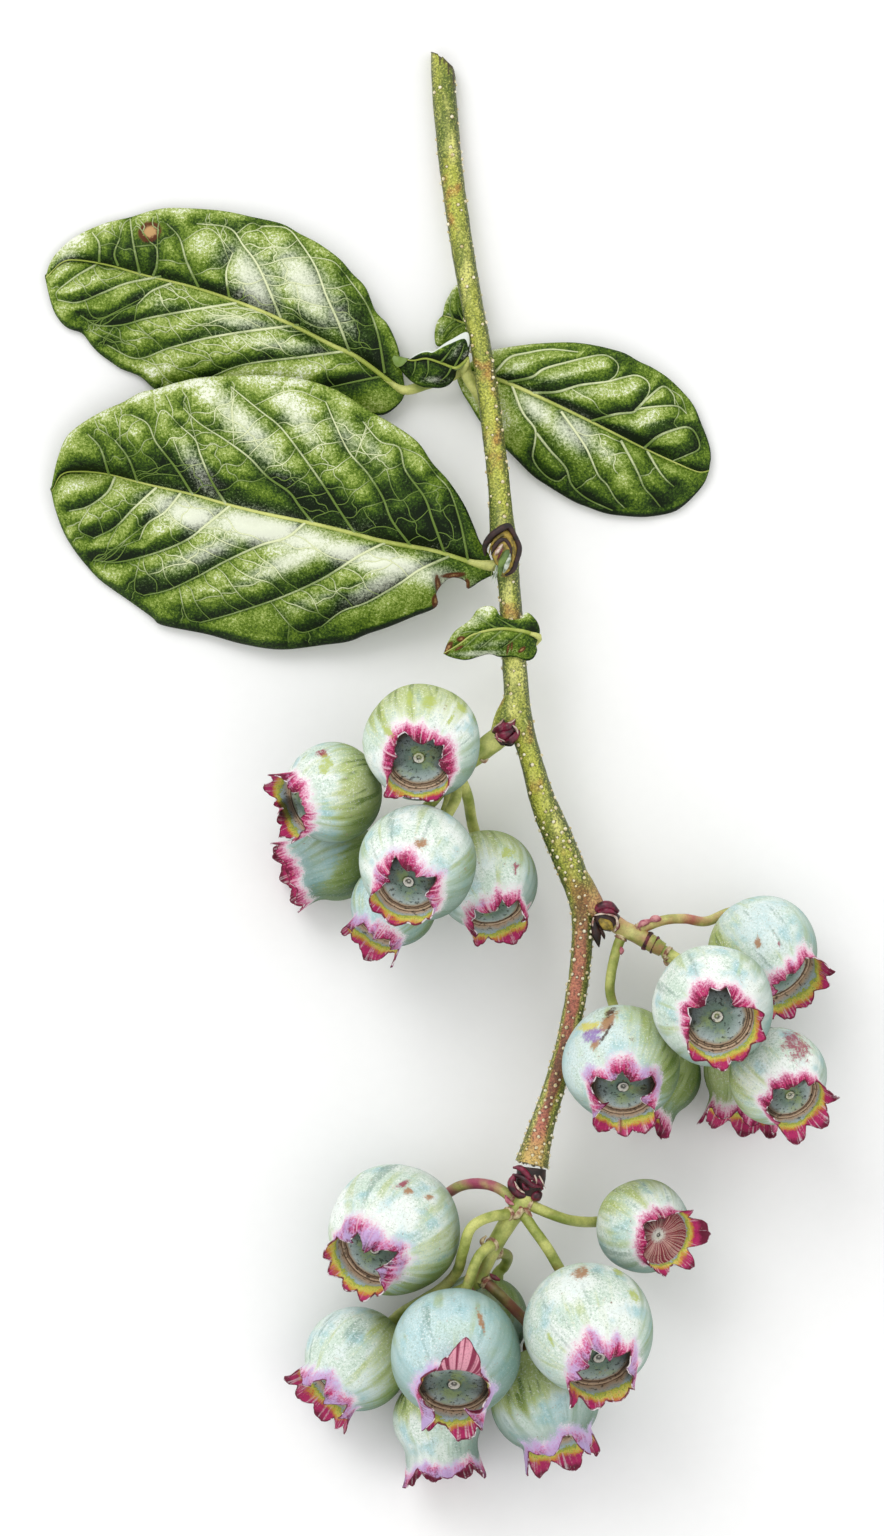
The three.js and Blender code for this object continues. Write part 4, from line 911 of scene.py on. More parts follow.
# every fruit stalk runs along its route from the rachis, then on to the stalk end of its berry
pedicels = {
    "upper_1": [(2.6, 0.2, 9.8), (1.2, 3.2, 8.7), (-0.8, 5.8, 9.4)],
    "upper_2": [(1.1, -1.5, 9.8), (-2.2, -0.6, 9.1), (-5.8, -0.8, 9.6)],
    "upper_3": [(1.1, -1.5, 9.8), (-1.5, -4.5, 7.2), (-4.6, -7.0, 4.8)],
    "upper_4": [(1.7, -0.8, 9.8), (1.9, -3.1, 11.0), (0.9, -5.1, 12.6)],
    "upper_5": [(1.3, -1.3, 9.8), (1.1, -3.6, 8.7), (0.2, -6.0, 8.1), (-1.6, -9.2, 7.9)],
    "upper_6": [(2.0, -0.5, 9.8), (3.1, -3.0, 8.4), (3.6, -5.8, 5.4)],
    "right_1": [(21.2, -18.1, 10.2), (24.5, -16.8, 10.5), (27.0, -16.6, 9.3), (29.4, -16.9, 7.5)],
    "right_2": [(24.4, -19.9, 10.7), (26.8, -21.3, 11.6), (28.9, -23.2, 13.1)],
    "right_3": [(20.4, -17.8, 10.0), (19.4, -20.4, 10.0), (18.8, -24.4, 9.6), (19.7, -27.5, 9.0)],
    "right_4": [(25.0, -20.5, 10.6), (26.6, -23.5, 8.2), (26.2, -28.0, 4.6)],
    "right_5": [(24.6, -20.0, 10.7), (29.3, -23.6, 8.2), (34.4, -26.6, 4.9)],
    "right_6": [(24.6, -20.0, 10.7), (30.2, -25.0, 11.3), (34.6, -29.2, 11.4)],
    "lower_1": [(8.9, -48.1, 10.3), (6.8, -46.4, 9.3), (4.6, -45.8, 7.6), (2.2, -46.2, 5.5),
                (-0.4, -47.9, 3.3)],
    "lower_2": [(8.3, -49.0, 10.3), (5.6, -49.3, 12.6), (3.5, -50.5, 13.3), (2.6, -53.2, 12.3),
                (2.0, -55.4, 9.4), (0.2, -57.4, 7.0), (-4.0, -60.1, 4.1)],
    "lower_3": [(6.4, -52.0, 10.3), (4.4, -53.6, 12.4), (3.3, -56.4, 12.1), (2.3, -58.9, 11.0)],
    "lower_4": [(4.3, -56.6, 10.3), (0.4, -58.5, 9.5), (-1.4, -60.7, 7.6), (-2.0, -63.2, 5.6),
                (-1.4, -66.0, 4.7)],
    "lower_5": [(8.8, -48.3, 10.3), (10.2, -50.4, 11.4), (11.8, -52.6, 11.6), (13.6, -55.6, 10.9)],
    "lower_6": [(4.6, -56.0, 10.3), (6.9, -58.1, 11.0), (9.4, -60.7, 9.9), (10.4, -62.3, 7.6)],
    "lower_7": [(9.2, -47.7, 10.3), (12.2, -49.0, 10.4), (14.6, -49.8, 9.2), (17.4, -50.0, 7.2),
                (19.4, -49.3, 4.9)],
    "lower_8": [(5.8, -53.1, 10.3), (7.5, -53.7, 7.8), (7.2, -55.0, 5.3)],
}
pedicelForm = {"radius": {"upper": 0.62, "right": 0.55, "lower": 0.6}, "rootSwell": 1.1, "fruitSwell": 1.35,
               "collarAt": 0.9, "collarSize": 1.188, "sink": 0.35,
               "skins": {"right_1": "blush", "lower_1": "red", "lower_6": "dark"}}


def makePedicel(key, route, form):
    name = "pedicel_" + key
    centre, axis, size = berryAxis[key]
    radius = form["radius"][key[:5]]
    end = centre - axis * size * 0.93
    points = route + [tuple(end - axis * 0.7), tuple(end + axis * form["sink"])]
    swells = [form["rootSwell"]] + [1.0] * (len(route) - 1) + [1.05, form["fruitSwell"]]
    path = [point + (radius * swell,) for point, swell in zip(points, swells)]
    skin = stalkSkin[form["skins"].get(key, "green")]
    stalk = makeStalk(name, path, skin, sides=18, step=0.4, unevenness=0.09)
    line = smoothPath(path, 60)  # a scale collar a little way from the rachis
    marks = np.array([-0.28, -0.12, 0.0, 0.14, 0.26]) + form["collarAt"]
    swell = np.array([0.98, 1.18, 1.0, 1.2, 0.98]) * form["collarSize"] * radius
    ring = np.stack([np.interp(marks, arcLengths(line), line[:, k]) for k in range(3)] + [swell], axis=1)
    collar = makeStalk(name + "_collar", ring, bractSkin["collar"], sides=18, step=0.05, unevenness=0.12,
                       grain=1800.0)
    return joinPieces(name, [stalk, collar])


print("fruit stalks")
for key, route in pedicels.items():
    handOver(makePedicel(key, route, pedicelForm), "pedicel_" + key)


# Leaves. Margins run from the base to the tip; veins start at the midrib.
leafLook = {"dark": (12, 26, 4), "green": (44, 70, 12), "mid": (98, 124, 32), "light": (166, 182, 98),
            "sheen": (232, 236, 216), "vein": (222, 228, 184), "veinDark": (104, 128, 56),
            "midrib": (212, 216, 132), "midribDark": (150, 164, 70), "brown": (188, 150, 100),
            "brownDark": (88, 46, 24), "under": (132, 154, 100), "downy": (216, 222, 214)}


def leafMaterial(name, look, shift):
    paint = Paint(name, look, roughness=0.55, specular=0.14, grain=(3700.0, 2.0, 0.9))
    over, grainy, attribute = paint.over, paint.grainy, paint.attribute
    broad = paint.noise(240.0, 4.0)
    tone = paint.plus(grainy(paint.noisy(attribute("tone"), broad, 0.55), 1.15), shift)
    colour = paint.ramp(tone, [(0.0, "dark"), (0.26, "green"), (0.52, "mid"), (0.78, "light"),
                               (1.0, "sheen")])
    colour = over(colour, "sheen", grainy(attribute("sheen"), 0.9), 0.10, 0.85, 0.9)
    brown = grainy(attribute("brown"), 0.5)
    colour = over(colour, over("brownDark", "brown", brown, 0.55, 0.85), brown, 0.22, 0.42, 0.97)
    colour = over(colour, "downy", grainy(attribute("pale"), 0.3), 0.35, 0.65)
    colour = paint.mix(attribute("under"), colour, over("under", "mid", broad, 0.4, 0.6))
    return paint.finish(colour, paint.grain, 0.03, 0.4)


def veinMaterial(name, look, light, dark):
    paint = Paint(name, look, roughness=0.55, specular=0.2, grain=(4200.0, 2.0, 0.8))
    # paler where the leaf beneath carries painted light, darker in its painted shade
    tone = paint.plus(paint.attribute("tone"), paint.times(paint.grain, 0.5))
    return paint.finish(paint.over(dark, light, tone, 0.25, 0.95), paint.grain, 0.02, 0.4)


leafSkin = {"green": leafMaterial("leaf_green", leafLook, 0.06),
            "deep": leafMaterial("leaf_deep", leafLook, -0.02)}
veinPale = veinMaterial("leaf_vein", leafLook, "vein", "veinDark")
midribPale = veinMaterial("leaf_midrib", leafLook, "midrib", "midribDark")

leaves = {
    "leaf_upper_left": {
        "skin": "green", "grid": (200, 54), "arch": 0.9, "fold": 0.9, "relief": 0.62, "thick": 0.3,
        "tone": 0.33,
        "midrib": [(-3.7, 41.5), (-4.7, 42.2), (-9.0, 45.4), (-11.9, 46.8), (-16.3, 49.0), (-20.6, 50.9),
            (-26.6, 53.0), (-32.9, 54.6), (-36.4, 55.6), (-39.8, 56.2), (-41.7, 56.0), (-43.6, 54.2)],
        "midribRise": [2.2, 2.5, 2.9, 3.4, 3.7, 3.8, 3.6, 3.2, 2.6, 2.0, 1.3, 0.9],
        "upper": [(-3.7, 41.5), (-4.2, 45.0), (-4.7, 47.0), (-5.7, 49.1), (-7.0, 50.5), (-8.1, 53.1),
            (-9.6, 54.7), (-11.0, 56.3), (-13.3, 58.0), (-15.4, 59.1), (-17.4, 60.2), (-20.8, 61.0),
            (-24.3, 61.7), (-29.4, 62.0), (-31.8, 61.7), (-34.1, 61.0), (-37.3, 60.2), (-40.6, 58.6),
            (-42.8, 56.4), (-43.6, 54.2)],
        "upperRise": [2.2, 2.4, 2.6, 2.4, 1.9, 1.3, 1.0, 0.8, 0.9],
        "lower": [(-3.7, 41.5), (-4.3, 40.4), (-5.6, 39.3), (-7.0, 39.0), (-10.9, 39.1), (-16.4, 39.5),
            (-21.9, 40.0), (-26.3, 40.6), (-30.6, 41.6), (-31.8, 42.2), (-32.9, 43.2), (-33.9, 43.7),
            (-35.2, 44.2), (-36.4, 45.0), (-37.5, 45.8), (-38.4, 46.7), (-39.5, 48.1), (-40.9, 48.6),
            (-41.8, 49.3), (-42.6, 50.5), (-43.1, 52.0), (-43.6, 54.2)],
        "lowerRise": [2.2, 1.2, 1.0, 1.0, 0.9, 0.7, 0.5, 0.6, 0.9],
        "upperVeins": [
            [(-6.0, 43.7), (-6.8, 48.1), (-8.1, 51.4), (-10.3, 54.5)],
            [(-9.9, 46.1), (-11.2, 49.4), (-12.5, 52.3), (-13.6, 55.3), (-15.3, 58.0), (-16.9, 59.7),
             (-19.7, 59.9)],
            [(-17.5, 49.8), (-19.9, 55.3), (-21.6, 57.7), (-23.2, 59.7), (-26.8, 60.2)],
            [(-23.2, 52.1), (-23.5, 54.7), (-22.8, 56.9)],
            [(-26.6, 53.2), (-27.9, 56.0), (-28.7, 58.6), (-30.1, 60.2)],
            [(-31.6, 54.5), (-31.2, 55.6), (-31.2, 57.4), (-32.0, 58.2)],
            [(-33.1, 54.7), (-33.8, 58.0), (-34.2, 60.8)],
            [(-35.5, 55.6), (-35.9, 56.9), (-35.3, 58.6)],
            [(-37.6, 56.0), (-37.6, 58.0), (-38.4, 59.3)]],
        "lowerVeins": [
            [(-5.9, 43.4), (-9.8, 42.6), (-12.0, 42.1)],
            [(-10.3, 46.1), (-15.3, 45.4), (-21.9, 44.5), (-27.0, 42.4)],
            [(-15.5, 49.0), (-24.1, 47.8), (-29.6, 46.5), (-33.4, 45.3), (-36.7, 46.8)],
            [(-22.4, 51.4), (-28.5, 50.4), (-32.3, 49.7), (-35.1, 49.0), (-37.8, 49.0), (-39.7, 50.1)],
            [(-29.6, 53.6), (-31.8, 52.7), (-33.4, 51.2)],
            [(-30.7, 54.4), (-34.5, 53.6), (-37.3, 52.5), (-40.0, 51.5), (-42.2, 51.8)],
            [(-37.8, 55.8), (-40.0, 54.5), (-41.9, 53.1)]],
        "sheen": [(-20.4, 54.0, 4.8, 2.4, -58, 0.95), (-14.6, 53.4, 5.4, 2.4, -52, 0.95),
            (-11.6, 50.2, 3.2, 1.4, -50, 0.7), (-24.6, 57.0, 3.6, 1.6, -70, 0.3),
            (-22.0, 49.4, 5.5, 1.1, -12, 0.7), (-18.5, 47.0, 7.0, 0.9, -8, 0.6),
            (-41.4, 56.6, 2.2, 1.2, 40, 0.6), (-31.0, 51.6, 2.4, 0.9, -12, 0.4)],
        "brown": [(-32.0, 59.3, 1.15, 1.0, 20)],
        "paintedShade": [(-35.5, 50.6, 5.0, 3.0, 20, 0.45), (-32.5, 58.2, 7.5, 2.4, 22, 0.6),
            (-25.0, 58.0, 3.0, 2.0, 0, 0.35), (-8.0, 47.5, 6.0, 1.6, -60, 0.9),
            (-9.0, 42.2, 5.0, 1.6, 15, 0.9), (-14.0, 47.0, 5.0, 0.7, -32, 0.7),
            (-24.0, 52.9, 7.0, 0.7, -18, 0.6), (-20.0, 60.8, 6.0, 0.8, 12, 0.5)],
        "petiole": [(2.6, 44.4, 2.9, 0.5), (1.7, 43.5, 2.5, 0.6), (-1.5, 42.4, 2.2, 0.6),
            (-3.9, 41.8, 2.2, 0.52), (-6.0, 43.1, 2.0, 0.35)]},
    "leaf_lower_left": {
        "skin": "green", "grid": (212, 60), "arch": 1.1, "fold": 1.1, "relief": 0.68, "thick": 0.3,
        "tone": 0.28,
        "midrib": [(5.9, 22.1), (3.1, 22.8), (-1.0, 24.0), (-6.2, 25.0), (-9.6, 25.9), (-14.1, 27.0),
            (-18.9, 28.0), (-23.0, 29.0), (-27.2, 30.2), (-31.2, 31.1), (-34.0, 31.8), (-36.7, 32.5),
            (-39.5, 32.8), (-41.7, 32.5), (-42.9, 30.5)],
        "midribRise": [7.4, 7.4, 7.5, 7.5, 7.3, 6.9, 6.3, 5.5, 4.6, 3.5, 2.5, 1.6],
        "upper": [(5.8, 22.8), (5.4, 23.7), (4.5, 25.0), (3.9, 26.5), (2.8, 29.0), (1.1, 31.6),
            (-0.7, 33.6), (-2.4, 36.0), (-5.2, 38.0), (-7.5, 39.3), (-9.9, 40.9), (-12.0, 42.0),
            (-15.4, 43.0), (-19.6, 43.4), (-25.7, 43.2), (-28.5, 42.7), (-31.2, 41.9), (-33.0, 41.5),
            (-35.0, 40.4), (-37.1, 39.5), (-39.5, 38.1), (-41.2, 36.6), (-42.2, 34.2), (-42.8, 31.6),
            (-42.9, 30.5)],
        "upperRise": [7.4, 7.2, 6.8, 6.2, 5.3, 4.8, 4.3, 4.0, 3.6, 3.1, 2.4, 1.6],
        "lower": [(6.0, 21.3), (4.6, 20.6), (3.4, 19.8), (3.0, 19.9), (2.9, 20.6), (1.5, 21.0), (0.4, 20.3),
            (-0.3, 19.2), (-0.1, 18.2), (-0.7, 17.5), (-2.8, 16.7), (-5.5, 15.6), (-7.9, 14.8),
            (-9.9, 14.0), (-12.7, 13.6), (-17.5, 13.1), (-21.7, 13.7), (-25.7, 14.8), (-30.6, 15.8),
            (-31.8, 16.7), (-34.3, 18.5), (-37.4, 20.7), (-39.2, 22.6), (-40.5, 24.3), (-41.6, 26.2),
            (-42.5, 28.7), (-42.9, 30.5)],
        "lowerRise": [7.2, 6.6, 5.6, 4.2, 3.0, 2.2, 1.7, 1.3, 0.9, 0.5, 0.5, 0.9, 1.6],
        "upperVeins": [
            [(3.2, 23.0), (2.8, 25.0), (2.3, 27.2), (1.2, 30.5), (-0.3, 32.3)],
            [(0.6, 23.8), (-0.7, 27.3), (-1.6, 29.8), (-3.7, 32.8), (-4.4, 35.3), (-6.5, 36.0),
             (-8.4, 38.2)],
            [(-3.1, 24.5), (-5.2, 27.3), (-6.2, 29.8), (-7.9, 32.5), (-9.9, 34.8), (-11.3, 37.6),
             (-12.5, 40.4)],
            [(-9.2, 25.8), (-10.7, 28.0), (-12.7, 31.1), (-15.1, 34.5), (-17.5, 37.6), (-19.6, 39.3),
             (-23.0, 42.1)],
            [(-13.8, 26.9), (-15.4, 28.9), (-16.5, 30.4), (-18.9, 32.1), (-20.9, 34.2), (-23.6, 36.2),
             (-26.4, 38.0), (-28.2, 39.7)],
            [(-23.5, 29.1), (-25.1, 31.7), (-26.3, 34.5), (-26.9, 36.2), (-28.5, 37.7)],
            [(-27.2, 30.2), (-29.1, 33.2), (-31.2, 35.9), (-32.2, 38.0), (-34.0, 39.0)],
            [(-33.3, 31.6), (-34.3, 34.2), (-35.8, 36.2)],
            [(-36.5, 32.5), (-37.4, 35.3), (-38.8, 36.9)]],
        "lowerVeins": [
            [(1.1, 23.3), (-2.0, 21.9), (-4.4, 20.3), (-7.9, 18.3), (-10.7, 17.3), (-13.0, 15.6)],
            [(-5.8, 24.9), (-8.6, 23.5), (-11.3, 21.8), (-13.4, 20.6), (-17.5, 18.8), (-22.7, 17.1),
             (-26.4, 16.1)],
            [(-14.7, 27.1), (-16.8, 25.4), (-19.6, 24.6), (-23.6, 22.8), (-26.4, 21.3), (-29.9, 19.7),
             (-32.7, 19.1)],
            [(-23.0, 29.0), (-25.7, 26.8), (-27.8, 25.2), (-31.2, 23.8), (-35.4, 22.8), (-38.2, 23.0)],
            [(-28.5, 30.4), (-30.2, 28.3), (-32.2, 27.0), (-33.1, 25.2)],
            [(-31.2, 31.0), (-33.7, 28.7), (-35.8, 26.6), (-38.2, 25.4)],
            [(-35.8, 32.2), (-36.7, 30.4), (-38.8, 28.9), (-40.9, 28.4)]],
        "sheen": [(-7.0, 22.9, 8.0, 1.4, -14, 1.3), (-19.0, 26.2, 8.0, 1.7, -14, 1.5),
            (-27.5, 28.1, 5.0, 1.7, -18, 1.3), (-5.5, 20.9, 5.5, 1.3, 30, 0.8),
            (-16.0, 23.2, 6.5, 1.3, 24, 0.8), (-25.5, 24.0, 6.0, 1.2, 22, 0.7),
            (-21.5, 37.8, 6.5, 1.8, -48, 0.8), (-15.5, 38.5, 4.5, 1.6, -52, 0.7),
            (-10.5, 37.0, 3.4, 1.4, -50, 0.6), (-26.5, 33.0, 5.0, 1.3, -58, 0.6),
            (-7.5, 35.5, 3.0, 1.2, -50, 0.5), (-14.0, 18.5, 4.5, 1.0, 20, 0.4)],
        "paintedShade": [(-38.5, 33.5, 3.0, 4.0, 0, 0.3), (-2.0, 28.0, 7.0, 3.0, -40, 0.98),
            (-13.0, 29.5, 9.0, 1.8, -18, 0.95), (-27.0, 32.3, 7.0, 1.3, -20, 0.8),
            (2.0, 27.0, 3.0, 3.0, 0, 0.7), (-20.0, 15.0, 14.0, 1.5, 2, 0.5),
            (-33.5, 21.0, 6.0, 2.0, -50, 0.5)],
        "brown": [(1.6, 21.25, 1.5, 0.32, 5, 0.7), (-0.1, 20.2, 0.34, 1.3, 10, 0.7),
            (3.1, 20.2, 0.3, 0.8, 0, 0.7), (-0.4, 18.4, 0.4, 0.8, 0, 0.75)],
        "petiole": [(6.6, 22.3, 7.8, 0.6), (5.7, 22.3, 7.5, 0.62), (4.4, 22.5, 7.2, 0.55),
            (2.4, 23.0, 6.8, 0.4)]},
    "leaf_right": {
        "skin": "deep", "grid": (154, 45), "arch": 0.8, "fold": 0.7, "relief": 0.6, "thick": 0.3,
        "tone": 0.36, "net": 0.12,
        "midrib": [(2.5, 43.8), (5.0, 43.4), (7.6, 42.6), (11.8, 40.7), (17.0, 38.2), (22.2, 35.6),
            (25.9, 33.9), (28.6, 32.8), (29.9, 32.9)],
        "midribRise": [1.7, 1.7, 2.0, 2.6, 3.0, 3.2, 3.1, 3.0, 2.6, 2.2, 1.6, 1.0],
        "upper": [(2.5, 43.8), (4.3, 45.7), (6.0, 46.3), (9.2, 46.8), (11.3, 47.0), (14.3, 47.1),
            (16.4, 46.9), (18.4, 46.5), (20.5, 45.9), (22.1, 45.0), (23.6, 44.3), (25.3, 43.2),
            (26.9, 41.7), (28.2, 40.1), (29.1, 38.0), (29.8, 36.2), (30.1, 34.6), (29.9, 32.9)],
        "upperRise": [1.7, 1.4, 1.4, 1.8, 2.2, 2.0, 1.7, 1.3, 1.0, 1.0],
        "lower": [(2.5, 43.8), (2.0, 43.1), (2.6, 41.5), (3.4, 40.2), (4.5, 38.4), (5.9, 36.7), (7.8, 34.9),
            (10.2, 32.5), (11.9, 31.3), (14.7, 29.6), (16.4, 28.9), (18.4, 28.2), (20.5, 27.9),
            (22.9, 27.8), (25.5, 28.2), (26.9, 28.9), (28.4, 30.3), (29.4, 31.6), (29.9, 32.9)],
        "lowerRise": [1.7, 1.4, 1.2, 1.2, 1.3, 1.2, 1.0, 0.7, 0.5, 0.6, 1.0],
        "upperVeins": [
            [(5.4, 43.3), (6.3, 43.9), (7.8, 45.4), (9.7, 45.9), (12.3, 46.3), (15.4, 46.0)],
            [(7.6, 42.7), (10.2, 43.2), (11.6, 44.1), (14.0, 44.8), (17.4, 45.6), (18.8, 45.5),
             (19.8, 44.6), (19.6, 43.5), (18.8, 42.8)],
            [(10.4, 41.5), (13.1, 41.6), (15.6, 42.3), (18.6, 42.7), (20.5, 43.2), (21.9, 43.4),
             (23.1, 42.7), (23.2, 41.5), (22.1, 39.9)],
            [(16.9, 38.4), (19.5, 39.1), (21.4, 39.3), (22.1, 39.7), (24.5, 40.0), (26.4, 40.0),
             (27.4, 39.2)],
            [(21.7, 39.5), (23.2, 41.0), (24.8, 42.2), (25.9, 41.3), (26.1, 40.2)],
            [(22.7, 35.4), (24.1, 36.6), (25.7, 37.3), (27.4, 37.7), (28.4, 37.0), (28.8, 35.4),
             (27.4, 34.6), (25.9, 34.0)]],
        "lowerVeins": [
            [(8.0, 42.5), (9.2, 39.4), (10.6, 37.5), (10.6, 36.0), (10.4, 34.2), (11.6, 32.5), (13.1, 31.7),
             (14.1, 32.4)],
            [(10.8, 37.0), (12.3, 35.1), (14.0, 33.2), (14.7, 31.3), (16.4, 29.8), (19.2, 28.5)],
            [(13.5, 39.4), (15.2, 37.0), (16.4, 35.1), (17.6, 32.4), (18.6, 31.3), (19.5, 29.8),
             (20.5, 28.8)],
            [(20.1, 36.2), (21.2, 34.2), (22.1, 32.4), (22.7, 31.0), (23.6, 30.0), (24.5, 28.9)],
            [(23.0, 35.1), (24.1, 33.2), (25.0, 32.0), (26.0, 31.1)]],
        "sheen": [(10.6, 39.8, 2.8, 1.4, -42, 0.85), (15.0, 37.2, 3.2, 1.8, -36, 0.95),
            (18.2, 35.0, 2.4, 1.0, -40, 0.6), (16.1, 41.5, 3.2, 0.7, 10, 0.45),
            (13.6, 43.5, 3.4, 0.6, 12, 0.45), (22.6, 38.2, 2.4, 0.7, 8, 0.4),
            (8.6, 44.3, 2.0, 0.6, 22, 0.5), (21.4, 42.0, 1.6, 0.7, 8, 0.3), (8.6, 38.2, 1.0, 1.6, 0, 0.25)],
        "paintedShade": [(15.0, 39.8, 4.0, 0.6, -22, 0.9), (21.0, 36.8, 3.0, 0.5, -24, 0.8),
            (20.0, 46.0, 8.0, 1.2, -18, 0.7), (14.0, 30.6, 8.0, 1.6, -30, 0.6),
            (25.0, 29.8, 4.0, 1.4, 20, 0.7), (10.0, 42.9, 3.6, 0.5, -4, 0.7),
            (28.6, 36.0, 1.0, 4.0, 0, 0.5)],
        "petiole": [(1.9, 44.2, 2.2, 0.5), (2.8, 43.8, 1.6, 0.5), (5.0, 43.3, 1.4, 0.35)]},
    "leaf_small_back": {
        "skin": "green", "grid": (54, 20), "arch": 0.35, "fold": 0.3, "relief": 0.3, "thick": 0.25,
        "tone": 0.3, "net": 0.0, "faint": 0.3, "slot": "young_leaf",
        "midrib": [(4.4, 48.8), (2.6, 49.3), (1.4, 49.8), (0.4, 50.1)],
        "midribRise": [1.4, 1.4, 1.3, 1.0],
        "upper": [(4.4, 48.8), (4.4, 50.6), (3.6, 52.4), (2.5, 53.4), (1.8, 53.4), (1.2, 52.5), (0.7, 51.5),
            (0.4, 50.1)],
        "upperRise": [1.4, 1.2, 1.0, 0.9, 1.0],
        "lower": [(4.4, 48.8), (3.1, 48.1), (1.8, 47.4), (0.4, 46.7), (-0.3, 46.8), (-0.5, 47.7),
            (-0.4, 48.8), (-0.1, 49.6), (0.4, 50.1)],
        "lowerRise": [1.4, 1.2, 1.0, 0.9, 1.0],
        "upperVeins": [[(2.9, 49.2), (2.2, 50.6), (2.1, 52.0)], [(1.6, 49.7), (1.2, 50.8), (1.3, 51.8)]],
        "lowerVeins": [[(2.8, 49.2), (1.7, 48.6), (0.8, 47.6)], [(1.9, 49.6), (1.0, 48.9), (0.3, 48.0)]],
        "sheen": [(1.0, 52.0, 1.2, 0.5, 60, 0.6), (0.2, 48.4, 1.0, 0.4, 80, 0.6),
            (1.1, 50.2, 0.5, 0.4, 0, 0.5)],
        "paintedShade": [(2.9, 49.6, 1.6, 0.5, -18, 0.9), (3.0, 51.0, 1.2, 0.6, 60, 0.5)],
        "petiole": [(5.2, 48.3, 2.2, 0.35), (4.6, 48.7, 1.6, 0.32), (3.4, 49.1, 1.2, 0.2)]},
    "leaf_curled": {
        "skin": "deep", "grid": (72, 27), "arch": 0.8, "fold": 0.7, "relief": 0.4, "thick": 0.25,
        "tone": 0.26, "net": 0.0, "faint": 0.3, "slot": "young_leaf", "rolled": (0.1, 0.94, 0.22),
        "midrib": [(3.2, 45.3), (1.9, 44.2), (0.3, 44.7), (-1.4, 45.2), (-3.0, 45.0), (-5.1, 45.4)],
        "midribRise": [4.6, 4.8, 5.0, 5.0, 4.6, 4.0],
        "upper": [(3.2, 45.3), (3.4, 46.6), (3.1, 48.1), (1.4, 47.3), (0.4, 46.7), (-0.6, 46.0),
            (-1.2, 46.1), (-2.1, 45.9), (-3.2, 45.2), (-4.5, 44.4), (-5.1, 45.4)],
        "upperRise": [4.6, 5.2, 5.6, 5.6, 5.2, 5.0, 4.4, 4.0],
        "lower": [(3.2, 45.3), (2.8, 44.7), (2.0, 44.0), (1.8, 43.2), (1.2, 42.4), (0.3, 42.0),
            (-0.8, 42.0), (-1.8, 42.1), (-2.9, 42.6), (-3.7, 43.3), (-4.4, 44.2), (-5.1, 45.4)],
        "lowerRise": [4.6, 4.2, 3.8, 3.6, 3.6, 3.6, 3.8, 4.0],
        "upperVeins": [[(1.7, 44.3), (2.4, 45.6), (2.8, 46.8)], [(0.2, 44.8), (0.9, 45.6), (1.6, 46.6)]],
        "lowerVeins": [
            [(1.4, 44.3), (0.9, 43.4), (0.1, 42.7)],
            [(-1.2, 45.1), (-1.2, 43.8), (-1.6, 42.9)],
            [(-2.6, 45.0), (-2.7, 44.0), (-3.0, 43.3)]],
        "sheen": [(1.9, 46.1, 1.1, 0.5, 50, 0.5), (-0.6, 42.9, 1.6, 0.4, 0, 0.6),
            (2.9, 45.6, 0.7, 0.3, 50, 0.6)],
        "paintedShade": [(-1.6, 45.0, 2.6, 0.5, 5, 0.9), (0.4, 44.5, 1.6, 0.5, -20, 0.8),
            (-3.8, 44.4, 0.9, 0.7, 0, 0.7)],
        "petiole": [(2.6, 43.9, 3.6, 0.5), (3.0, 44.6, 4.2, 0.42), (3.1, 45.2, 4.5, 0.35),
            (2.2, 44.5, 4.5, 0.22)]},
    "leaf_clasping": {
        "skin": "green", "grid": (100, 33), "arch": 0.7, "fold": 0.35, "relief": 0.3, "thick": 0.3,
        "tone": 0.34, "net": 0.0, "faint": 0.3, "slot": "young_leaf",
        "midrib": [(11.0, 14.4), (10.1, 14.8), (8.9, 15.1), (7.1, 15.3), (5.3, 15.1), (3.6, 14.6),
            (2.2, 13.6), (0.5, 12.6)],
        "midribRise": [9.7, 10.9, 11.2, 11.0, 10.4, 9.8, 9.2],
        "upper": [(11.0, 14.4), (11.1, 15.2), (10.8, 16.1), (10.1, 16.9), (9.5, 17.1), (9.0, 16.5),
            (8.0, 16.3), (6.8, 16.7), (6.3, 17.5), (5.8, 17.8), (5.0, 17.8), (4.2, 17.4), (3.4, 16.3),
            (1.8, 15.1), (1.0, 13.9), (0.5, 12.6)],
        "upperRise": [9.7, 9.9, 10.3, 10.5, 10.5, 10.2, 9.8, 9.5, 9.2],
        "lower": [(11.0, 14.4), (10.7, 13.6), (10.8, 12.9), (10.4, 12.1), (9.8, 11.8), (9.2, 11.9),
            (8.4, 12.2), (6.7, 12.2), (5.4, 12.5), (3.2, 11.9), (2.0, 12.0), (1.0, 12.3), (0.5, 12.6)],
        "lowerRise": [9.7, 10.0, 10.4, 10.5, 10.2, 9.8, 9.4, 9.2],
        "upperVeins": [
            [(8.6, 15.2), (7.6, 15.8), (6.3, 16.6)],
            [(6.4, 15.3), (5.2, 16.0), (4.2, 16.6)],
            [(4.4, 14.9), (3.3, 15.0), (2.4, 14.8)]],
        "lowerVeins": [
            [(9.2, 15.0), (8.2, 14.1), (7.0, 13.2)],
            [(7.0, 15.2), (5.8, 14.2), (4.4, 13.1)],
            [(4.6, 14.9), (3.5, 13.9), (2.4, 13.0)]],
        "sheen": [(4.2, 16.4, 1.8, 0.7, 35, 0.7), (4.4, 12.6, 3.0, 0.4, 2, 0.8),
            (2.2, 14.9, 1.0, 0.5, 50, 0.5), (5.5, 13.6, 2.2, 0.5, 8, 0.5)],
        "paintedShade": [(8.2, 15.9, 2.4, 0.5, 0, 0.9), (10.4, 15.6, 0.8, 1.2, 0, 0.8),
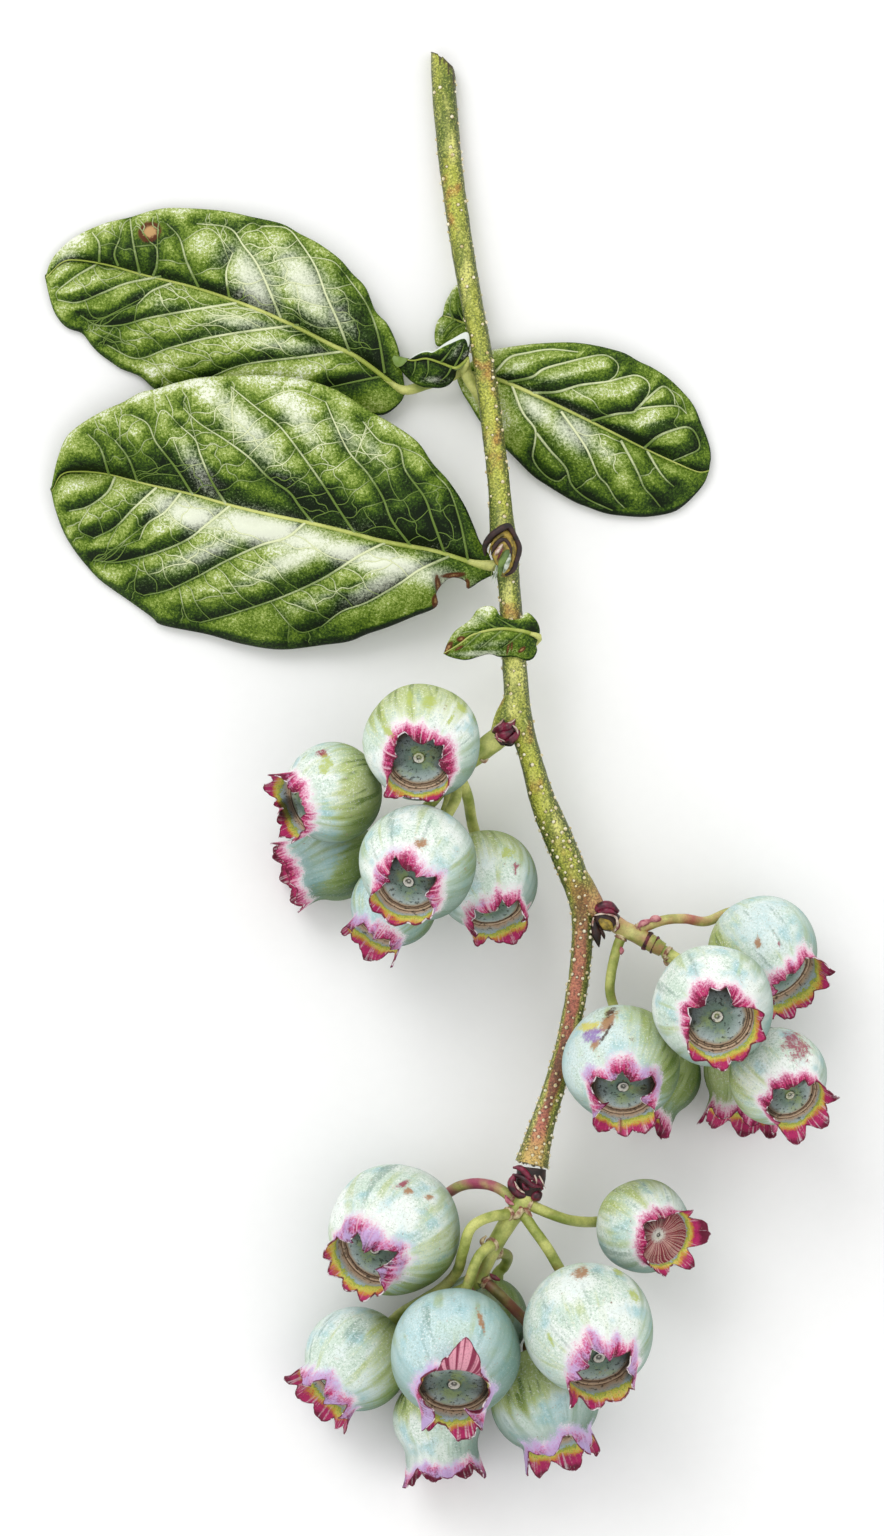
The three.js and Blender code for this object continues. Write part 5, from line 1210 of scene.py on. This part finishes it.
            (9.8, 13.2, 0.9, 1.3, 0, 0.6)],
        "brown": [(1.0, 13.2, 0.35, 0.9, -30, 0.75), (2.4, 14.2, 0.5, 0.3, 10, 0.75),
            (2.2, 13.2, 0.6, 0.16, 30, 0.7), (7.6, 13.2, 0.1, 0.8, -12, 0.9),
            (8.0, 13.4, 0.08, 0.6, -5, 0.9), (9.1, 13.0, 0.5, 0.22, 40, 0.8)],
        "petiole": [(10.2, 13.6, 8.6, 0.5), (10.9, 14.2, 9.2, 0.42), (10.9, 14.5, 9.9, 0.35),
            (10.0, 14.8, 10.5, 0.2)]},
}


def waver(start, end, rng, sway):  # a slightly wandering path between two points
    span = np.linalg.norm(end - start)
    across = np.array([-(end - start)[1], (end - start)[0]]) / span
    bends = rng.uniform(-1, 1, 3) * min(sway, 0.14 * span)
    middle = [start + (end - start) * k + across * w for k, w in zip((0.28, 0.55, 0.8), bends)]
    return smoothPath([start] + middle + [end], max(8, int(span / 0.3)))


def closest(line, point):  # which point of the line
    return int(np.argmin(np.linalg.norm(line - point, axis=1)))


netForm = {"spacing": 2.7, "shortest": 1.2, "longest": 7.5, "forkFrom": 2.4, "linkFrom": 2.8,
           "linkReach": 4.5, "archFrom": 1.5, "archTo": 11.0, "spurs": (0.25, 0.6)}


def crossVeins(one, two, rng, form):  # the net between two side veins
    net = []
    last = len(two) - 1
    count = int(arcLengths(one)[-1] / form["spacing"])
    used, before = 1, None
    for k in range(count):
        share = (k + 0.8 + rng.uniform(-0.25, 0.25)) / (count + 0.2)
        start = one[int(np.clip(share, 0.05, 0.98) * last)]
        target = max(closest(two, start) + int(rng.integers(-2, 3)), used)
        if target >= last:
            break
        end = two[target]
        span = np.linalg.norm(end - start)
        used = target + 3
        if span < form["shortest"] or span > form["longest"]:
            continue
        cross = waver(start, end, rng, 0.55)
        net.append(cross)
        middle = cross[len(cross) // 2]
        if span > form["forkFrom"] and rng.uniform() < 0.5 and target + 5 < last:  # reaches the vein twice
            net.append(waver(cross[int(len(cross) * rng.uniform(0.3, 0.6))], two[target + 4], rng, 0.3))
            used = target + 6
        if before is not None and span > form["linkFrom"]:
            if np.linalg.norm(before - middle) < form["linkReach"]:
                net.append(waver(before, middle, rng, 0.35))
        before = cross[int(len(cross) * rng.uniform(0.35, 0.7))]
    return net


def archVeins(one, two, margin, rng, form):  # a side vein arches over to the next, with spurs to the margin
    start, end = one[-1], two[int(rng.uniform(0.62, 0.85) * (len(two) - 1))]
    if not form["archFrom"] < np.linalg.norm(end - start) < form["archTo"]:
        return []
    middle = 0.5 * (start + end)
    arch = smoothPath([start, middle + 0.5 * (margin[closest(margin, middle)] - middle), end], 24)
    net = [arch]
    for share in form["spurs"]:
        root = arch[int(share * (len(arch) - 1))]
        rim = margin[closest(margin, root)]
        if np.linalg.norm(rim - root) > form["shortest"]:
            net.append(waver(root, root + 0.75 * (rim - root), rng, 0.3))
    return net


def leafVeins(spec, rng):  # main side veins, then the finer net worked out between each neighbouring pair
    mains = [smoothPath(spec["midrib"], 120)]
    mains += [smoothPath(v, 40) for v in spec["upperVeins"] + spec["lowerVeins"]]
    fine = []
    for side in ("upper", "lower"):
        lines = [smoothPath(v, 40) for v in spec[side + "Veins"]]
        margin = smoothPath(spec[side], 160)
        for one, two in zip(lines[:-1], lines[1:]):
            fine += crossVeins(one, two, rng, netForm) + archVeins(one, two, margin, rng, netForm)
    return mains, fine


def nearest(lines, points):  # distance from each point to the nearest line
    tree = searchTree(np.vstack([line[:, :2] for line in lines]))
    return np.array([tree.find((x, y, 0.0))[2] for x, y in points])


def spots(marks, points):  # 1 in the middle of a spot, 0 outside it
    total = np.zeros(len(points))
    for x, y, long, wide, turn, *amount in marks:
        glow = np.exp(-0.9 * offMiddle(points, x, y, long, wide, turn) ** 2)
        total = np.maximum(total, (amount[0] if amount else 1.0) * glow)
    return total


def risePath(points, rise, count):
    height = np.interp(np.linspace(0, 1, count), np.linspace(0, 1, len(rise)), rise)
    return np.column_stack([smoothPath(points, count), height])


def closedSheet(name, top, thick, layers, material):  # a grid of points into a closed thin sheet
    rows, columns = top.shape[:2]
    normal = np.cross(np.gradient(top, axis=0), np.gradient(top, axis=1))
    size = np.linalg.norm(normal, axis=2, keepdims=True)
    normal = np.where(size > 1e-9, normal / np.maximum(size, 1e-9), [0.0, 0.0, 1.0])
    if normal[..., 2].mean() < 0:
        normal = -normal
    verts = np.vstack([top.reshape(-1, 3), (top - normal * thick).reshape(-1, 3)]) * mm
    half = rows * columns
    at = np.arange(half).reshape(rows, columns)
    faces = []
    quads = np.stack([at[:-1, :-1], at[1:, :-1], at[1:, 1:], at[:-1, 1:]], axis=-1)
    for a, b, c, d in quads.reshape(-1, 4).tolist():
        faces += [(a, b, c, d), (half + d, half + c, half + b, half + a)]
    ring = np.concatenate([at[0], at[1:, -1], at[-1, -2::-1], at[-2:0:-1, 0]])
    faces += [(a, b, half + b, half + a) for a, b in zip(ring, np.roll(ring, -1))]
    doubled = {key: np.tile(value.ravel(), 2) for key, value in layers.items()}
    doubled["under"] = np.repeat([0.0, 1.0], half)
    piece = newObject(name, verts, faces, doubled, material)
    cleaned = bmesh.new()
    cleaned.from_mesh(piece.data)
    bmesh.ops.remove_doubles(cleaned, verts=cleaned.verts, dist=0.004 * mm)
    bmesh.ops.dissolve_degenerate(cleaned, edges=cleaned.edges, dist=0.002 * mm)
    bmesh.ops.recalc_face_normals(cleaned, faces=cleaned.faces)
    cleaned.to_mesh(piece.data)
    cleaned.free()
    piece.data.shade_smooth()
    return piece


def paleRim(spec, v, rows):  # where a rolled margin shows the downy underside: from, to, width
    if "rolled" not in spec:
        return np.zeros((rows, len(v)))
    start, stop, width = spec["rolled"]
    share = np.linspace(0, 1, rows)[:, None]
    return smooth((share - start) / 0.05) * smooth((stop - share) / 0.05) * (v > 1.0 - width)


def facingSun(grid, sun):  # how squarely each part of a surface faces the light
    normal = np.cross(np.gradient(grid, axis=0), np.gradient(grid, axis=1))
    normal /= np.maximum(np.linalg.norm(normal, axis=2, keepdims=True), 1e-9)
    return ((normal * np.sign(normal[..., 2].mean())) @ sun).reshape(-1)


leafForm = {"sun": (-0.42, 0.74, 0.52), "mainGroove": 1.5, "fineGroove": 0.6, "rumple": 0.16,
            "rumpleScale": 0.45, "rimShare": 0.06, "midrib": 0.28, "vein": 0.10, "fine": 0.045}


def makeLeaf(name, spec, form, rng):
    rows, half = spec["grid"]
    midrib, upper, lower = (risePath(spec[key], spec[key + "Rise"], rows)[:, None]
                            for key in ("midrib", "upper", "lower"))
    v = np.linspace(-1, 1, 2 * half + 1)
    away = np.abs(v) ** 0.92
    margin = np.where(v[None, :, None] >= 0, upper, lower)
    top = midrib + (margin - midrib) * away[None, :, None]
    ease = np.clip(np.linalg.norm((margin - midrib)[..., :2], axis=2) / 8.0, 0, 1)
    top[..., 2] += spec["arch"] * ease * 4 * away * (1 - away) - spec["fold"] * ease * np.exp(
        -(np.abs(v) / 0.13) ** 1.5)
    flat = top.reshape(-1, 3)
    mains, fine = leafVeins(spec, rng)
    fine = [line for line in fine if rng.uniform() < spec.get("net", 1.0)]
    toFine = nearest(fine, flat[:, :2]) if fine else np.full(len(flat), 9.0)
    bulge = 1.0 - np.exp(-nearest(mains, flat[:, :2]) / form["mainGroove"])
    small = 1.0 - np.exp(-toFine / form["fineGroove"])
    rumple = np.array([noise.noise(Vector((x, y, 3.7))) for x, y in flat[:, :2] * form["rumpleScale"]])
    edge = np.clip((1.0 - np.abs(np.tile(v, rows))) / form["rimShare"], 0, 1)
    lift = spec["relief"] * bulge * (0.60 + 0.40 * small) + form["rumple"] * rumple
    sun = np.array(form["sun"])
    broad = facingSun(top, sun)
    flat[:, 2] += lift * ease.reshape(-1) * (0.35 + 0.65 * edge)
    # painted light and shade in the tone: lighter on the bulges between veins and where the surface faces
    # the sun, darker in the painted shade spots and along the margin
    facing = 1.25 * (facingSun(top, sun) - broad) + 0.45 * (broad - sun[2])
    relief = bulge * (0.5 + 0.5 * small)
    tone = spec["tone"] + 0.5 * relief + facing - 0.5 * spots(spec["paintedShade"], flat) - 0.16 * (1 - edge)
    sheen = spots(spec["sheen"], flat) * (0.45 + 0.55 * relief)
    layers = {"tone": tone, "sheen": sheen, "brown": spots(spec.get("brown", ()), flat),
              "pale": paleRim(spec, v, rows)}
    parts = [closedSheet(name, top, spec["thick"], layers, leafSkin[spec["skin"]])]
    # vein ribs lie in the grooves
    surface = searchTree(flat[:, :2])

    def rib(label, line, radii, lift, darker, material, sides):
        values = []
        for x, y in line[:, :2]:
            found = surface.find_n((x, y, 0.0), 4)
            weights = np.array([1.0 / (0.02 + f[2]) for f in found])
            near = [f[1] for f in found]
            # the rib takes the leaf's tone and sheen beneath it, with their painted light, shade and
            # highlight
            sample = np.stack([flat[near, 2], tone[near] + sheen[near]], 1)
            values.append((weights[:, None] * sample).sum(0) / weights.sum())
        padded = np.vstack([values[:1], values, values[-1:]])
        height, shade = (0.25 * padded[:-2] + 0.5 * padded[1:-1] + 0.25 * padded[2:]).T
        piece = chainObject("%s_%s" % (name, label), np.column_stack([line[:, :2], height + lift]) * mm,
                            {"radius": radii * mm, "tone": shade - darker})
        parts.append(runTree(piece, tubeTree, {"Sides": sides, "Unevenness": 0.0, "Material": material}))

    faint = spec.get("faint", 0.0)
    stout = 0.35 + 0.65 * half / 60.0
    for k, line in enumerate(mains):
        share = np.linspace(0, 1, len(line))
        if k == 0:
            thick = (form["midrib"] * (1 - share) ** 1.1 + 0.07) * stout
            rib("midrib", line, thick, 0.03, 0.0, midribPale, 10)
        else:
            slim = form["vein"] * (1 - share) + 0.065 - 0.12 * faint
            rib("vein%d" % k, line, slim, 0.03, faint, veinPale, 6)
    for k, line in enumerate(fine):
        thickness = form["fine"] + 0.025 * np.sin(np.linspace(0, math.pi, len(line)))
        rib("fine%d" % k, line, thickness, 0.02, 0.14, veinPale, 5)
    parts.append(makeStalk(name + "_petiole", spec["petiole"], stalkSkin["green"], sides=18))
    return joinPieces(name, parts)


print("leaves")
leafRandom = np.random.default_rng(31)
for name, spec in leaves.items():
    handOver(makeLeaf(name, spec, leafForm, leafRandom), name)


# scale tufts and the opening bud: rounded scales, each a path with a radius at every point
scaleSkins = {  # light, dark, size of the patches, roughness
    "crimson": ((132, 30, 62), (44, 10, 20), 900.0, 0.35),
    "brown": ((58, 30, 24), (24, 12, 12), 1200.0, 0.55),
    "cream": ((226, 214, 196), (150, 104, 96), 1400.0, 0.6),
    "ochre": ((176, 150, 60), (96, 84, 30), 1200.0, 0.6),
    "grey": ((206, 214, 200), (96, 116, 84), 1300.0, 0.6),
}
scaleSkin = {key: plainMaterial("scale_" + key, *values) for key, values in scaleSkins.items()}
scaleSkin["green"] = stalkMaterial("bud_green", (120, 146, 70), (46, 76, 34), (170, 70, 90), 0.1)

tufts = {
    "bud_scales_upper": [
        ("brown", [(8.7, 4.7, 9.9, 0.6), (7.6, 4.0, 9.9, 1.15), (6.4, 3.1, 9.8, 1.0)]),
        ("crimson", [(5.9, 3.9, 10.2, 0.14), (6.4, 4.2, 10.7, 0.5), (6.9, 4.5, 10.9, 0.55),
            (7.1, 5.3, 10.7, 0.1)]),
        ("crimson", [(6.8, 4.2, 10.8, 0.2), (7.5, 4.5, 11.1, 0.5), (8.1, 4.8, 10.9, 0.3),
            (8.4, 5.4, 10.6, 0.06)]),
        ("crimson", [(6.2, 3.6, 10.6, 0.15), (7.0, 3.6, 11.1, 0.5), (7.7, 3.9, 11.3, 0.35),
            (8.2, 4.4, 11.2, 0.08)]),
        ("crimson", [(7.0, 3.0, 10.6, 0.15), (7.8, 3.1, 10.9, 0.5), (8.5, 3.7, 10.8, 0.4),
            (8.9, 4.3, 10.5, 0.08)]),
        ("brown", [(7.3, 2.5, 10.2, 0.1), (7.9, 2.7, 10.5, 0.32), (8.4, 3.1, 10.4, 0.1)]),
        ("cream", [(5.8, 4.0, 10.5, 0.04), (6.2, 4.5, 11.0, 0.1), (6.7, 4.9, 11.2, 0.11),
            (7.1, 5.4, 10.9, 0.03)]),
        ("cream", [(7.5, 4.9, 11.3, 0.04), (8.0, 5.1, 11.3, 0.12), (8.4, 5.4, 10.8, 0.03)]),
        ("cream", [(8.1, 4.7, 11.4, 0.05), (8.5, 4.3, 11.2, 0.14), (8.7, 3.7, 11.1, 0.05)]),
        ("cream", [(6.1, 3.4, 10.9, 0.03), (6.7, 3.2, 11.2, 0.09), (7.3, 2.9, 11.1, 0.04)])],
    "bud_scales_right": [
        ("brown", [(17.1, -15.3, 9.8, 0.7), (18.2, -16.4, 10.0, 1.35), (19.4, -17.2, 10.0, 1.0)]),
        ("crimson", [(17.2, -15.9, 10.6, 0.2), (17.6, -15.3, 11.0, 0.45), (18.7, -15.1, 11.2, 0.5),
            (19.7, -15.8, 10.8, 0.25)]),
        ("crimson", [(17.5, -15.8, 11.1, 0.15), (18.5, -15.7, 11.5, 0.35), (19.5, -16.1, 11.1, 0.15)]),
        ("cream", [(17.1, -16.2, 11.0, 0.08), (18.0, -16.0, 11.4, 0.13), (18.8, -16.1, 11.5, 0.13),
            (19.5, -16.5, 11.3, 0.13), (19.6, -17.4, 11.1, 0.14), (19.3, -17.9, 10.8, 0.08)]),
        ("cream", [(17.0, -16.4, 10.9, 0.07), (16.9, -17.2, 10.8, 0.12), (17.2, -17.9, 10.5, 0.07)]),
        ("crimson", [(19.5, -16.8, 11.1, 0.1), (19.7, -17.4, 10.9, 0.22), (19.4, -18.0, 10.5, 0.1)]),
        ("ochre", [(17.7, -16.6, 11.0, 0.3), (18.4, -17.2, 11.1, 0.6), (19.0, -17.6, 10.8, 0.3)]),
        ("brown", [(17.0, -16.8, 10.6, 0.3), (17.3, -18.2, 10.4, 0.5), (17.5, -19.2, 10.0, 0.26),
            (17.6, -19.7, 9.7, 0.06)]),
        ("brown", [(17.8, -17.8, 10.6, 0.2), (18.1, -18.4, 10.3, 0.2), (18.2, -18.8, 10.0, 0.06)])],
    "bud_scales_tip": [
        ("brown", [(10.2, -44.0, 10.2, 1.6), (10.0, -45.6, 10.3, 1.6), (9.6, -47.0, 10.3, 1.1)]),
        ("crimson", [(8.2, -43.9, 11.2, 0.15), (9.0, -44.0, 11.9, 0.36), (9.9, -44.9, 12.0, 0.3),
            (10.7, -45.2, 11.8, 0.1)]),
        ("crimson", [(8.1, -44.7, 11.2, 0.15), (9.2, -45.0, 11.9, 0.32), (10.2, -45.8, 12.0, 0.3),
            (11.2, -46.0, 11.4, 0.12)]),
        ("crimson", [(8.4, -44.6, 11.2, 0.2), (8.0, -45.6, 11.2, 0.5), (8.4, -46.5, 11.2, 0.52),
            (9.2, -47.0, 11.1, 0.4), (9.9, -46.6, 11.0, 0.12)]),
        ("cream", [(8.3, -45.4, 11.7, 0.05), (8.7, -46.2, 11.75, 0.14), (9.4, -46.7, 11.5, 0.05)]),
        ("crimson", [(9.2, -45.6, 11.6, 0.1), (9.5, -46.1, 11.8, 0.3), (9.9, -46.3, 11.6, 0.1)]),
        ("crimson", [(10.5, -46.6, 10.7, 0.3), (10.7, -47.0, 10.9, 0.72), (10.9, -47.5, 10.6, 0.3)]),
        ("crimson", [(10.2, -45.0, 11.7, 0.1), (11.0, -45.5, 11.6, 0.3), (11.4, -46.3, 11.1, 0.12)]),
        ("cream", [(9.9, -44.6, 12.0, 0.07), (10.2, -45.2, 12.0, 0.09), (10.1, -45.5, 11.9, 0.02)]),
        ("cream", [(10.5, -44.7, 11.9, 0.08), (10.7, -45.3, 11.9, 0.1), (10.7, -45.8, 11.7, 0.02)]),
        ("cream", [(11.0, -44.8, 11.6, 0.08), (11.3, -45.4, 11.6, 0.1), (11.7, -46.2, 11.2, 0.02)]),
        ("cream", [(9.4, -44.3, 12.0, 0.06), (9.7, -44.7, 12.1, 0.08), (9.8, -45.1, 12.0, 0.02)])],
    "opening_bud": [
        ("ochre", [(7.3, 21.2, 9.4, 0.5), (7.3, 22.4, 9.9, 1.1), (7.2, 24.2, 10.0, 1.5),
            (7.0, 25.7, 9.7, 1.2), (6.9, 26.6, 9.4, 0.5)]),
        ("brown", [(5.1, 23.4, 9.3, 0.16), (5.1, 24.5, 9.9, 0.34), (5.8, 25.5, 10.7, 0.4),
            (6.7, 26.2, 10.9, 0.4), (7.6, 26.6, 10.7, 0.36), (8.1, 25.9, 10.7, 0.3),
            (8.5, 25.1, 10.6, 0.32), (8.8, 24.1, 10.4, 0.36), (8.5, 22.9, 10.4, 0.36),
            (8.1, 21.8, 10.3, 0.34), (7.3, 21.2, 10.2, 0.14)]),
        ("ochre", [(5.5, 23.5, 10.0, 0.06), (5.7, 24.4, 10.8, 0.1), (6.4, 25.2, 11.3, 0.11),
            (7.1, 25.6, 11.3, 0.11), (7.7, 25.1, 11.3, 0.1), (8.1, 24.3, 11.2, 0.1), (8.1, 23.0, 11.0, 0.1),
            (7.8, 22.0, 10.8, 0.05)]),
        ("brown", [(5.8, 23.5, 10.2, 0.1), (6.1, 24.2, 11.0, 0.24), (6.6, 24.9, 11.3, 0.26),
            (7.2, 25.1, 11.35, 0.2), (7.7, 24.5, 11.3, 0.2), (7.9, 23.8, 11.2, 0.16),
            (7.9, 23.2, 11.1, 0.06)]),
        ("cream", [(6.2, 23.4, 11.0, 0.1), (6.5, 23.9, 11.4, 0.24), (7.0, 24.6, 11.5, 0.1)]),
        ("crimson", [(6.4, 22.9, 11.2, 0.04), (6.8, 23.7, 11.7, 0.09), (7.1, 24.3, 11.7, 0.03)]),
        ("green", [(6.5, 21.6, 10.4, 0.12), (7.0, 22.7, 11.1, 0.42), (7.4, 23.6, 11.4, 0.36),
            (7.7, 24.0, 11.3, 0.1)]),
        ("grey", [(7.1, 21.5, 10.6, 0.1), (7.4, 22.2, 11.2, 0.26), (7.7, 23.0, 11.4, 0.22),
            (7.8, 23.6, 11.3, 0.05)]),
        ("green", [(6.7, 21.0, 10.0, 0.05), (6.8, 21.8, 10.6, 0.24), (7.2, 22.6, 10.9, 0.1)]),
        ("grey", [(6.4, 22.3, 10.6, 0.09), (6.1, 21.4, 10.1, 0.1), (5.8, 20.5, 9.6, 0.02)]),
        ("grey", [(6.5, 22.1, 10.6, 0.08), (6.3, 21.2, 10.0, 0.09), (6.1, 20.3, 9.6, 0.02)]),
        ("green", [(6.3, 22.4, 10.5, 0.1), (5.9, 21.8, 10.0, 0.1), (5.7, 21.0, 9.6, 0.02)])],
}


print("buds and scales")
for name, scales in tufts.items():
    parts = [makeStalk("%s_scale%d" % (name, k), path, scaleSkin[skin], sides=16, step=0.12,
                       unevenness=0.12, grain=1500.0) for k, (skin, path) in enumerate(scales)]
    handOver(joinPieces(name, parts), name)
